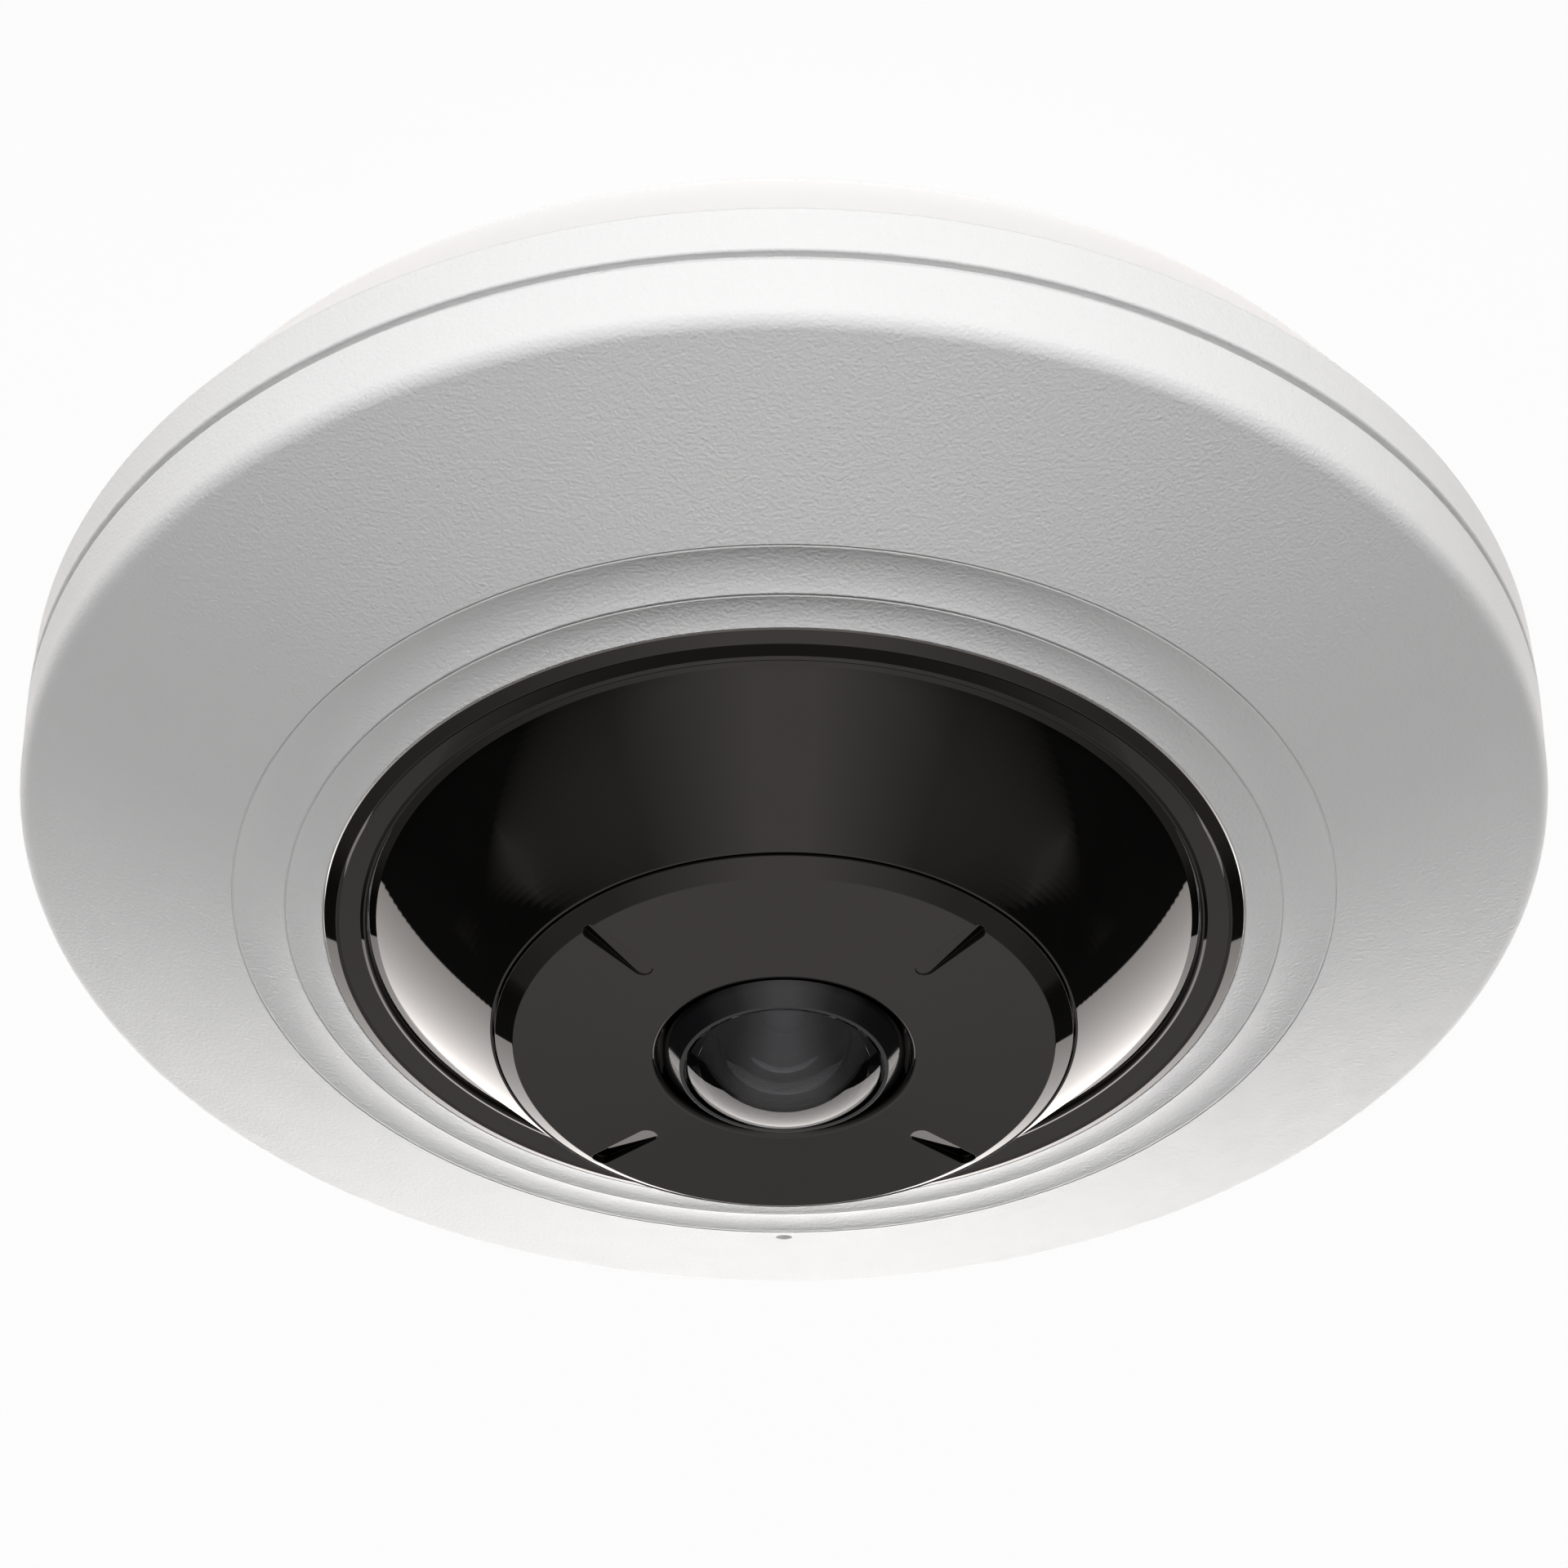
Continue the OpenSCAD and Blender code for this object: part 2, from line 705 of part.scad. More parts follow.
module filter_frame() {
  channel_z = sensor_board_top + channel_low;
  channel_end = carriage_end + filter_travel + channel_play;
  bay_low_y = rotor_y - bay_back;
  color(rubber_black) {
    difference() {
      union() {
        block([-frame_half_l, -frame_side_w, sensor_board_top], [frame_half_l, frame_half_w, frame_top]);
        block([-bay_half_w, bay_low_y, sensor_board_top],
              [bay_half_w, -frame_side_w + fit, sensor_board_top + bay_floor_t]);
      }
      block([-sensor_room_x, -sensor_room_y, sensor_board_top - over],
            [sensor_room_x, sensor_room_y, sensor_board_top + sensor_room_h]);
      block([-light_hole_half, -light_hole_half, sensor_board_top],
            [light_hole_half, light_hole_half, frame_top]);
      block([-channel_end, -carriage_half_w - run_gap, channel_z],
            [channel_end, carriage_half_w + run_gap, channel_z + channel_h]);
      block([-ear_room_half, -frame_side_w - over, channel_z],
            [ear_room_half, -carriage_half_w, frame_top + over]);
      rod(light_hole_r, channel_z, frame_top + over);
      around(holder_screw_circle_r, holder_screw_angles)
        rod(holder_screw_r + fit, frame_top - holder_screw_grip, frame_top + over);
    }
    translate([0, rotor_y, 0])
      rod(pivot_r, sensor_board_top + bay_floor_t - fit, carriage_top + arm_lift + arm_t);
  }
}

module filter_carriage() {
  ear_x = filter_travel / 2;
  pin_far_y = rotor_y + arm_l * cos(swing_half);
  slot_half = pin_r + pin_play;
  color([0.2, 0.2, 0.22]) difference() {
    union() {
      block([-carriage_end, -carriage_half_w, carriage_low],
            [filter_travel + carriage_end, carriage_half_w, carriage_top]);
      block([ear_x - ear_half_w, pin_far_y - ear_end, carriage_low],
            [ear_x + ear_half_w, -carriage_half_w + fit, carriage_top]);
    }
    for (x = [0, filter_travel]) translate([x, 0, 0]) {
      block([filter_rim - filter_half_l, filter_rim - filter_half_w, carriage_low - over],
            [filter_half_l - filter_rim, filter_half_w - filter_rim, carriage_top + over]);
      block([-filter_half_l - fit, -filter_half_w - fit, carriage_top - filter_t],
            [filter_half_l + fit, filter_half_w + fit, carriage_top + over]);
    }
    block([ear_x - slot_half, pin_far_y - slot_half, carriage_low - over],
          [ear_x + slot_half, slot_half - pin_mid_y, carriage_top + over]);
  }
}

module filter_glass(x) {
  block([x - filter_half_l, -filter_half_w, carriage_top - filter_t],
        [x + filter_half_l, filter_half_w, carriage_top]);
}

module cut_filter() {
  color([0.45, 0.75, 0.8, 0.7]) filter_glass(0);
}

module clear_filter() {
  color([0.85, 0.9, 0.92, 0.5]) filter_glass(filter_travel);
}

module magnet_rotor() {
  arm_z = carriage_top + arm_lift;
  color([0.35, 0.35, 0.38]) translate([0, rotor_y, 0]) rotate(-swing_half) difference() {
    union() {
      rod(rotor_r, sensor_board_top + bay_floor_t + rotor_low_gap, arm_z + arm_t);
      block([-arm_w / 2, 0, arm_z], [arm_w / 2, arm_l, arm_z + arm_t]);
      translate([0, arm_l, 0]) rod(arm_w / 2, arm_z, arm_z + arm_t);
      translate([0, arm_l, 0]) rod(pin_r, carriage_low, arm_z + fit);
    }
    rod(pivot_r + pivot_play, sensor_board_top, frame_top + over);
  }
}

module filter_coil() {
  low_x = rotor_r + coil_gap;
  low_z = sensor_board_top + bay_floor_t;
  color([0.7, 0.38, 0.2])
    block([low_x, rotor_y - coil_l / 2, low_z],
          [low_x + coil_w, rotor_y + coil_l / 2 - coil_gap, carriage_top]);
}

// Lens holder and its screws
holder_half = 8.5;
holder_foot_t = 1.6;
holder_r = 7.8;
holder_top_drop = 0.4;
holder_screw_circle_r = 9.9;
holder_screw_angles = [45, 135];
holder_screw_r = 0.8;
holder_screw_head_r = 1.15;
holder_screw_head_h = 0.9;
holder_screw_grip = 2.4;

module lens_holder() {
  top = glass_seat_z - barrel_head_h - holder_top_drop;
  color([0.25, 0.25, 0.27]) difference() {
    union() {
      block([-holder_half, -holder_half, frame_top], [holder_half, holder_half, frame_top + holder_foot_t]);
      rod(holder_r, frame_top, top);
    }
    rod(thread_r + fit, frame_top - over, top + over);
    around(holder_screw_circle_r, holder_screw_angles)
      rod(holder_screw_r + fit, frame_top - over, frame_top + holder_foot_t + over);
  }
}

module holder_screws() {
  color(steel) around(holder_screw_circle_r, holder_screw_angles)
    translate([0, 0, frame_top - holder_screw_grip])
      screw(holder_screw_r, holder_screw_grip + holder_foot_t, holder_screw_head_r, holder_screw_head_h);
}

// Infrared lighting and the seal round the lens
seal_in_r = 9.2;
seal_out_r = 11.2;
led_board_t = 1.2;
seal_h = 2.2;
led_board_z = collar_z - seal_h - led_board_t;
carrier_gap = 1.42;
carrier_r = window_in_r(led_board_z + led_board_t) - carrier_gap;
carrier_t = 1.4;
carrier_arch_half = 6;
carrier_arch_h = 7;
foot_half_w = 3;
foot_reach = 4.6;
foot_t = 1.2;
carrier_screw_reach = 2.6;
carrier_screw_r = 1;
carrier_screw_head_r = 1.8;
carrier_screw_head_h = 1.2;
carrier_screw_end = 0.2;
led_board_in_r = 9;
led_place_share = 0.652;
led_circle_r = seal_out_r + led_place_share * (carrier_r - seal_out_r);
led_angles = [0, 60, 120, 180, 240, 300];
led_half = 1.7;
led_body_h = 0.9;
led_lens_r = 1.4;

// Sensor and its board
sensor_half_l = 5.5;
sensor_half_w = 5;
sensor_t = 1.2;
sensor_board_play = 1.4;
sensor_board_r = carrier_r - carrier_t - sensor_board_play;
spacer_inset = 3;
spacer_circle_r = sensor_board_r - spacer_inset;
spacer_r = 2;
sensor_screw_r = 0.95;
sensor_screw_depth = 2.4;
sensor_screw_head_r = 1.6;
sensor_screw_head_h = 1.1;

module image_sensor() {
  color([0.35, 0.4, 0.45]) block([-sensor_half_l, -sensor_half_w, sensor_board_top],
                                 [sensor_half_l, sensor_half_w, sensor_board_top + sensor_t]);
}

module sensor_board() {
  color(board_green) difference() {
    rod(sensor_board_r, sensor_board_z, sensor_board_top);
    around(spacer_circle_r, corner_angles)
      rod(sensor_screw_r + fit, sensor_board_z - over, sensor_board_top + over);
  }
}

module sensor_spacers() {
  color([0.8, 0.65, 0.3]) around(spacer_circle_r, corner_angles)
    tube(spacer_r, sensor_screw_r + fit, board_top, sensor_board_z);
}

module sensor_screws() {
  color(steel) around(spacer_circle_r, corner_angles)
    translate([0, 0, sensor_board_z - sensor_screw_depth])
      screw(sensor_screw_r, sensor_screw_depth + sensor_board_t, sensor_screw_head_r, sensor_screw_head_h);
}

module led_carrier() {
  color([0.85, 0.85, 0.83]) difference() {
    union() {
      rod(carrier_r, board_top, led_board_z);
      for (a = cover_screw_angles) rotate(a)
        block([carrier_r - carrier_t / 2, -foot_half_w, board_top],
              [carrier_r + foot_reach, foot_half_w, board_top + foot_t]);
    }
    rod(carrier_r - carrier_t, board_top - over, led_board_z + over);
    for (a = arch_angles) rotate(a)
      block([0, -carrier_arch_half, board_top - over],
            [carrier_r + over, carrier_arch_half, board_top + carrier_arch_h]);
    around(carrier_r + carrier_screw_reach, cover_screw_angles)
      rod(carrier_screw_r + fit, board_top - over, board_top + foot_t + over);
  }
}

module carrier_screws() {
  color(steel) around(carrier_r + carrier_screw_reach, cover_screw_angles)
    translate([0, 0, board_z + carrier_screw_end])
      screw(carrier_screw_r, board_t - carrier_screw_end + foot_t,
            carrier_screw_head_r, carrier_screw_head_h);
}

module led_board() {
  color(board_green) tube(carrier_r, led_board_in_r, led_board_z, led_board_z + led_board_t);
}

module ir_leds() {
  low = led_board_z + led_board_t;
  color([0.85, 0.85, 0.8]) around(led_circle_r, led_angles) {
    block([-led_half, -led_half, low], [led_half, led_half, low + led_body_h]);
    intersection() {
      translate([0, 0, low + led_body_h]) sphere(r = led_lens_r);
      rod(led_lens_r, low + led_body_h - fit, low + led_body_h + led_lens_r);
    }
  }
}

module lens_seal() {
  color(rubber_black) tube(seal_out_r, seal_in_r, led_board_z + led_board_t, collar_z);
}

// Main board and what it carries
processor_x = -11;
processor_side = 12;
processor_h = 1.3;
connector_x = 7;
connector_w = 3;
connector_half_l = 6;
net_jack_port_half = 5.85;
net_jack_port_low = 1.2;
net_jack_port_h = 8.2;
net_jack_port_depth = 14;
latch_half = 3;
latch_h = 1.2;
contact_count = 8;
contact_pitch = 1.02;
contact_w = 0.36;
contact_t = 0.3;
contact_l = 9;
contact_tilt = 10;
power_bore_r = 3.1;
power_bore_depth = 9;
power_pin_r = 1;
transformer_low = [21, -9];
transformer_size = [10, 12];
transformer_h = 7.5;
card_size = [11.4, 14];
card_gap = 2.4;
card_low = [-carrier_r - card_gap - card_size[0], -card_size[1] / 2];
card_h = 1.9;
card_slot_h = 0.8;
card_slot_low = 0.5;
card_slot_margin = 1.2;
card_slot_back = 1.5;
switch_half = 3;
switch_gap = 1.8;
switch_x = carrier_r + switch_gap + switch_half;
switch_h = 3.5;
button_r = 1.65;
button_play = 0.1;
button_h = 2.3;
button_bore_depth = 1.6;
button_end_gap = 0.2;

module main_board() {
  color(board_green) difference() {
    rod(board_r, board_z, board_top);
    around(board_screw_circle_r, corner_angles)
      rod(board_screw_r + fit, board_z - over, board_top + over);
    around(carrier_r + carrier_screw_reach, cover_screw_angles)
      rod(carrier_screw_r + fit, board_z - over, board_top + over);
  }
}

module board_screws() {
  color(steel) around(board_screw_circle_r, corner_angles)
    translate([0, 0, board_top - board_screw_l])
      screw(board_screw_r, board_screw_l, board_screw_head_r, board_screw_head_h);
}

module processor() {
  color([0.15, 0.15, 0.16]) block([processor_x, -processor_side / 2, board_top],
    [processor_x + processor_side, processor_side / 2, board_top + processor_h]);
}

module board_connector() {
  color([0.8, 0.78, 0.7]) block([connector_x, -connector_half_l, board_top],
    [connector_x + connector_w, connector_half_l, sensor_board_z]);
}

module network_jack() {
  mid_x = net_jack_x + net_jack_w / 2;
  low_z = board_z - jack_h;
  port_z = low_z + net_jack_port_low;
  color([0.68, 0.69, 0.72]) difference() {
    block([net_jack_x, -well_back - net_jack_l, low_z], [net_jack_x + net_jack_w, -well_back, board_z]);
    block([mid_x - net_jack_port_half, -well_back - net_jack_port_depth, port_z],
          [mid_x + net_jack_port_half, -well_back + over, port_z + net_jack_port_h]);
    block([mid_x - latch_half, -well_back - net_jack_port_depth, port_z],
          [mid_x + latch_half, -well_back + over, port_z + net_jack_port_h + latch_h]);
  }
}

module jack_contacts() {
  mid_x = net_jack_x + net_jack_w / 2;
  back_y = -well_back - net_jack_port_depth;
  low_z = board_z - jack_h + net_jack_port_low;
  color([0.85, 0.7, 0.3]) for (i = [0:contact_count - 1])
    translate([mid_x + (i - (contact_count - 1) / 2) * contact_pitch, back_y, low_z])
      intersection() {
        rotate([contact_tilt, 0, 0])
          block([-contact_w / 2, -over, -contact_t], [contact_w / 2, contact_l, contact_t]);
        block([-contact_w, 0, 0], [contact_w, contact_l + over, net_jack_port_h]);
      }
}

module power_jack() {
  mid_x = power_jack_x + power_jack_w / 2;
  mid_z = board_z - power_jack_h / 2;
  color(rubber_black) {
    difference() {
      block([power_jack_x, -well_back - power_jack_l, board_z - power_jack_h],
            [power_jack_x + power_jack_w, -well_back, board_z]);
      translate([mid_x, 0, mid_z])
        along_y(power_bore_r, -well_back - power_bore_depth, power_bore_depth + over);
    }
    translate([mid_x, 0, mid_z])
      along_y(power_pin_r, -well_back - power_bore_depth - fit, power_bore_depth - power_pin_r);
  }
}

module network_transformer() {
  color([0.13, 0.13, 0.13]) translate([transformer_low[0], transformer_low[1], board_z - transformer_h])
    cube([transformer_size[0], transformer_size[1], transformer_h]);
}

module memory_card_socket() {
  color([0.75, 0.76, 0.78]) translate([card_low[0], card_low[1], board_top]) difference() {
    cube([card_size[0], card_size[1], card_h]);
    block([-over, card_slot_margin, card_slot_low],
          [card_size[0] - card_slot_back, card_size[1] - card_slot_margin, card_slot_low + card_slot_h]);
  }
}

module reset_switch() {
  top = board_top + switch_h;
  color([0.3, 0.3, 0.32]) difference() {
    block([switch_x - switch_half, -switch_half, board_top], [switch_x + switch_half, switch_half, top]);
    translate([switch_x, 0, 0]) rod(button_r + button_play, top - button_bore_depth, top + over);
  }
}

module reset_button() {
  low = board_top + switch_h - button_bore_depth + button_travel + button_end_gap;
  color([0.8, 0.3, 0.15]) translate([switch_x, 0, 0]) rod(button_r, low, low + button_h);
}

// Microphone and its rubber boot, under the hole in the cover
mic_r = 2.2;
mic_h = 2.3;
boot_r = 3.5;
boot_h = 3.2;
boot_end_t = 1.2;

module microphone() {
  top = mic_boss_z - boot_end_t;
  color([0.75, 0.75, 0.72]) translate([0, mic_place_r, 0]) rod(mic_r, top - mic_h, top);
}

module microphone_boot() {
  color(rubber_black) translate([0, mic_place_r, 0]) difference() {
    rod(boot_r, mic_boss_z - boot_h, mic_boss_z);
    rod(mic_r + fit, mic_boss_z - boot_h - over, mic_boss_z - boot_end_t);
    rod(mic_hole_r, mic_boss_z - boot_h, mic_boss_z + over);
  }
}

mounting_plate();
mount_studs();
lock_screw();
rear_housing();
cover_screws();
front_cover();
cover_gasket();
dome_ring();
ir_window();
front_cap();
dome_gasket();
dome_clamp();
clamp_screws();
lens_bezel();
lens_front();
lens_middle();
aperture_stop();
lens_rear();
lens_barrel();
lens_holder();
holder_screws();
lens_seal();
filter_frame();
filter_carriage();
cut_filter();
clear_filter();
magnet_rotor();
filter_coil();
image_sensor();
sensor_board();
sensor_spacers();
sensor_screws();
led_carrier();
carrier_screws();
led_board();
ir_leds();
main_board();
board_screws();
processor();
board_connector();
network_jack();
jack_contacts();
power_jack();
network_transformer();
memory_card_socket();
reset_switch();
reset_button();
microphone();
microphone_boot();
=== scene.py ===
"""A fisheye network camera, dressed around the packed model: mouldings, dome, lens, inner pieces and studio.

The dome faces up (+Z), the mounting face lies at z = 0 and the microphone hole is on the +Y side. The camera
looks from the -Y side with its top turned towards the floor, as one sees the device from below on a ceiling.
"""

import json
import math

import bmesh
import bpy
import numpy as np
from bpy.props import FloatProperty, FloatVectorProperty, IntProperty, PointerProperty
from mathutils import Matrix, Vector


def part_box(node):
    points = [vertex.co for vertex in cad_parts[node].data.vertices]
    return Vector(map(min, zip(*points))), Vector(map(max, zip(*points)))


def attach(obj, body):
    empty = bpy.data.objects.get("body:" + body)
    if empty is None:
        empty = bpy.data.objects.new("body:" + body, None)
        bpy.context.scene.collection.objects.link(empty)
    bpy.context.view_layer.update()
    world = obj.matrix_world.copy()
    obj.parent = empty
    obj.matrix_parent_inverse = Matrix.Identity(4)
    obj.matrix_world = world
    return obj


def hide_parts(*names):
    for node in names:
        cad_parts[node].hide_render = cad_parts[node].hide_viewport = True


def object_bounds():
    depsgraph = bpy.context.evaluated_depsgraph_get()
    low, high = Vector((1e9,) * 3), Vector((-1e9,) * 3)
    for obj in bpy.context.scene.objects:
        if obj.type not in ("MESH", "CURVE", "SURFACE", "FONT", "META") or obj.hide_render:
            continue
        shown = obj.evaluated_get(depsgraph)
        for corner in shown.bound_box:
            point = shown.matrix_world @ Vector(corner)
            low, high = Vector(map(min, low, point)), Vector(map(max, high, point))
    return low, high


bl_info = {
    "name": "Fisheye network camera",
    "version": (1, 0, 0),
    "blender": (4, 5, 0),
    "location": "View3D > Sidebar > Fisheye",
    "description": "Builds the mouldings, the dome, the lens and the studio of a fisheye network camera",
    "category": "Object",
}

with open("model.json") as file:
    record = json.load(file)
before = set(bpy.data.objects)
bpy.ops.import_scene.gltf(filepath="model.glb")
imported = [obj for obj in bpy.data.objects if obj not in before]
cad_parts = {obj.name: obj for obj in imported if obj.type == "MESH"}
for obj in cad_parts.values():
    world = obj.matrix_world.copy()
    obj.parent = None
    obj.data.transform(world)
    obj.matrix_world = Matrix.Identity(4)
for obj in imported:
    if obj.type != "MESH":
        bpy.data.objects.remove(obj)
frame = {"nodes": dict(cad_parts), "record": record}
CAD_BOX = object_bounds()
MM = 0.001
LOW = {name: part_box(name)[0] for name in frame["nodes"]}
HIGH = {name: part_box(name)[1] for name in frame["nodes"]}


def length(name, default, description):
    """A property that holds a length in metres, with its default given in millimetres."""
    return FloatProperty(name=name, description=description, default=default * MM, unit="LENGTH", precision=5)


def colour(name, default, description):
    """A property that holds a linear colour."""
    return FloatVectorProperty(name=name, description=description, default=default, subtype="COLOR", size=3)


class HousingSizes(bpy.types.PropertyGroup):
    """Sizes of the white rear housing."""
    rear_inset: length("Rear inset", 5.7, "How far the rear edge stands in from the side")
    shoulder_height: length("Shoulder height", 8.5, "Height where the smooth skirt meets the textured side")
    shoulder_inset: length("Shoulder inset", 0.25, "How far that shoulder stands in from the side")
    rim_round: length("Rim rounding", 0.2, "Rounding of the rim and of the rear edge")
    shoulder_round: length("Shoulder rounding", 0.6, "Rounding of the shoulder")
    access_radius: length("Access radius", 1.5, "Radius of the hole in front of the lock screw")


class CoverSizes(bpy.types.PropertyGroup):
    """Sizes of the white front cover."""
    seam_gap: length("Seam gap", 0.95, "Height of the open seam under the cover")
    face_width: length("Face width", 16.98, "Width of the sloping face")
    face_drop: length("Face drop", 6.66, "How far the face falls from its inner step to the side")
    edge_round: length("Edge rounding", 1.64, "Rounding between the face and the side")
    cove_width: length("Outer cove width", 4.21, "Width of the outer cove")
    cove_rise: length("Outer cove rise", 1.13, "Rise of the outer cove")
    inner_cove_width: length("Inner cove width", 2.98, "Width of the inner cove")
    inner_cove_rise: length("Inner cove rise", 0.7, "Rise of the inner cove")
    line_width: length("Hairline width", 0.14, "Width of the fine lines cut at the coves' creases")
    line_depth: length("Hairline depth", 0.14, "Depth of those lines")
    lip: length("Lip", 2.28, "Thickness of the lip round the dome's opening")
    mouth_round: length("Mouth rounding", 0.12, "Rounding at the dome's opening")
    microphone_radius: length("Microphone hole radius", 0.7, "Radius of the microphone hole")


class DomeSizes(bpy.types.PropertyGroup):
    """Sizes of the black dome: its ring, window and cap."""
    ring_width: length("Ring width", 3.33, "Width of the black ring round the window")
    groove: length("Ring groove", 0.14, "Open groove between the ring and the window")
    foot_step: length("Foot step", 0.57, "Width of the small step at the window's foot")
    foot_drop: length("Foot drop", 0.3, "Height of that step")
    window_wall: length("Window wall", 1.8, "Wall of the infrared window")
    window_draw: length("Window draw", 9.17, "How far the window's cone closes in")
    window_bow: FloatVectorProperty(
        name="Window bow", default=[math.radians(angle) for angle in (1.4, -0.6, 0.7)], size=3,
        description="How much steeper than its chord the window is at its foot, halfway and at its top")
    flange: length("Window flange", 1.6, "Thickness of the window's flange under the cover")
    lip_width: length("Lip width", 0.18, "Width of the flat lip on top of the window")
    seat_depth: length("Seat depth", 1.1, "Depth of the cap's seat behind the lip")
    seat_width: length("Seat width", 1.3, "Width and thickness of that seat")
    cap_edge_rise: length("Cap edge rise", 0.16, "How far the cap's edge stands over the window's lip")
    cap_chamfer: length("Cap chamfer", 1.4, "Width of the cap's chamfer")
    cap_chamfer_rise: length("Cap chamfer rise", 1.0, "Rise of the cap's chamfer")
    cap_crown: length("Cap crown", 1.03, "Rise of the cap's face up to the lens recess")
    cap_wall: length("Cap wall", 1.8, "Wall of the cap")
    cap_skirt: length("Cap skirt", 1.6, "Width of the cap's skirt on its seat")
    collar_bore: length("Collar bore", 8.5, "Radius of the bore in the cap's collar")
    collar_edge: length("Collar edge", 11.4, "Radius of that collar")
    recess_radius: length("Recess radius", 9.77, "Radius of the recess round the lens")
    recess_round: length("Recess rounding", 0.52, "Rounding of the recess's edge")
    edge_round: length("Edge rounding", 0.06, "Rounding of the dome's edges")
    drain_start: length("Drain start", 14.3, "Radius where a drain groove starts")
    drain_end: length("Drain end", 21.0, "Radius where a drain groove ends")
    drain_width: length("Drain width", 1.5, "Width of a drain groove")
    drain_depth: length("Drain depth", 0.1, "Depth of a drain groove where it starts")
    drain_lean: FloatProperty(name="Drain lean", default=math.radians(5.5), subtype="ANGLE",
                              description="How much steeper a drain groove falls than the cap")
    drain_round: length("Drain rounding", 0.04, "Rounding of the edge round a drain groove")
    drain_fillet: length("Drain fillet", 0.04, "Rounding between a drain groove's floor and its wall")


class LensSizes(bpy.types.PropertyGroup):
    """Sizes of the lens, its ring and its glasses."""
    glass_radius: length("Glass radius", 7.46, "Radius of the front glass where it leaves its ring")
    glass_gap: length("Glass gap", 0.2, "Gap between the front glass and its ring")
    glass_drop: length("Glass drop", 0.1, "How far the front glass's edge lies under the ring's rim")
    glass_centre: length("Glass centre", 2.1, "Thickness of the front glass at its centre")
    glass_hollow: length("Glass hollow", 6.2, "Radius of the hollow behind the front glass")
    glass_flange: length("Glass flange", 1.2, "Thickness of the front glass's flange")
    ring_cone: length("Ring cone", 1.57, "Height of the lens ring's cone")
    ring_rim: length("Ring rim", 0.34, "Width of the lens ring's rim")
    edge_round: length("Edge rounding", 0.07, "Rounding of the lens ring's edges")
    fine_round: length("Glass edge rounding", 0.03, "Rounding of the glasses' edges")
    middle_edge: length("Middle glass edge", 0.8, "Height of the middle glass's edge")
    middle_centre: length("Middle glass centre", 1.4, "Thickness of the middle glass at its centre")
    middle_hollow: length("Middle glass hollow", 4.0, "Radius of the hollow behind the middle glass")
    rear_bulge: length("Rear glass bulge", 0.8, "How far the rear glass bulges towards the sensor")
    rear_bulge_radius: length("Rear glass bulge radius", 3.5, "Radius of that bulge")
    stop_radius: length("Stop radius", 1.2, "Radius of the aperture's hole")
    head_height: length("Head height", 2.8, "Height of the barrel's head")
    thread_radius: length("Thread radius", 6.0, "Radius of the barrel's thread")
    thread_pitch: length("Thread pitch", 0.5, "Pitch of the rings cut round the barrel")
    thread_depth: length("Thread depth", 0.16, "Depth of those rings")
    baffle_pitch: length("Baffle pitch", 0.3, "Pitch of the fine rings cut inside the barrel")
    baffle_depth: length("Baffle depth", 0.03, "Depth of those rings")


class Finishes(bpy.types.PropertyGroup):
    """Colours and textures of the finishes."""
    white: colour("White", (0.83, 0.83, 0.83), "Colour of the white mouldings")
    black: colour("Black", (0.0045, 0.0042, 0.004), "Colour of the polished black mouldings")
    black_glint: colour("Black glint", (1.0, 0.975, 0.94), "Tint of the reflections on the black mouldings")
    coating: colour("Lens coating", (0.72, 0.70, 1.0), "Tint of the reflections of the inner glasses")
    grain: length("Grain", 0.32, "Size of the white mouldings' grain")
    grain_depth: length("Grain depth", 0.045, "Depth of that grain")


class Studio(bpy.types.PropertyGroup):
    """The camera, the lights and the floor."""
    segments: IntProperty(name="Segments", default=480, min=96, max=960,
                          description="Segments round the lens axis")
    camera_back: length("Camera back", 373.3, "How far the camera stands back from the lens axis")
    camera_height: length("Camera height", 321.6, "Height of the camera")
    camera_tilt: FloatProperty(name="Camera tilt", default=math.radians(39.56), subtype="ANGLE",
                               description="How far the camera looks down")
    camera_lens: FloatProperty(name="Focal length", default=139.93, unit="CAMERA",
                               description="Focal length of the camera on its 36 mm sensor")
    back_power: FloatProperty(name="Back light", default=39.5, unit="POWER",
                              description="Power of the light behind the object")
    front_power: FloatProperty(name="Front light", default=28.5, unit="POWER",
                               description="Power of the light in front of it")
    mirrored: colour("Mirrored tint", (1.0, 0.95, 0.92), "Colour of all that polished surfaces mirror")
    fill: FloatProperty(name="Fill", description="Strength of the even light from all round", default=0.075)


GROUPS = {
    "fisheye_housing": HousingSizes, "fisheye_cover": CoverSizes, "fisheye_dome": DomeSizes,
    "fisheye_lens": LensSizes, "fisheye_finishes": Finishes, "fisheye_studio": Studio,
}


def settings(group):
    """The scene's property group of that name."""
    return getattr(bpy.context.scene, "fisheye_" + group)


# Outlines are rows of (radius, height) in metres. Rows with a third value give the rounding of that corner.

# TINY keeps a division from a length of zero. A corner that turns by less than STRAIGHT radians stays as it
# is. A point is on the axis where its radius is under ON_AXIS. A turned outline's sides over LONG_SIDE get
# a point SUPPORT_REACH from both of their ends.
TINY = 1e-12
STRAIGHT = 1e-4
ON_AXIS = 1e-7
SUPPORT_REACH = 0.04 * MM
LONG_SIDE = 6 * SUPPORT_REACH


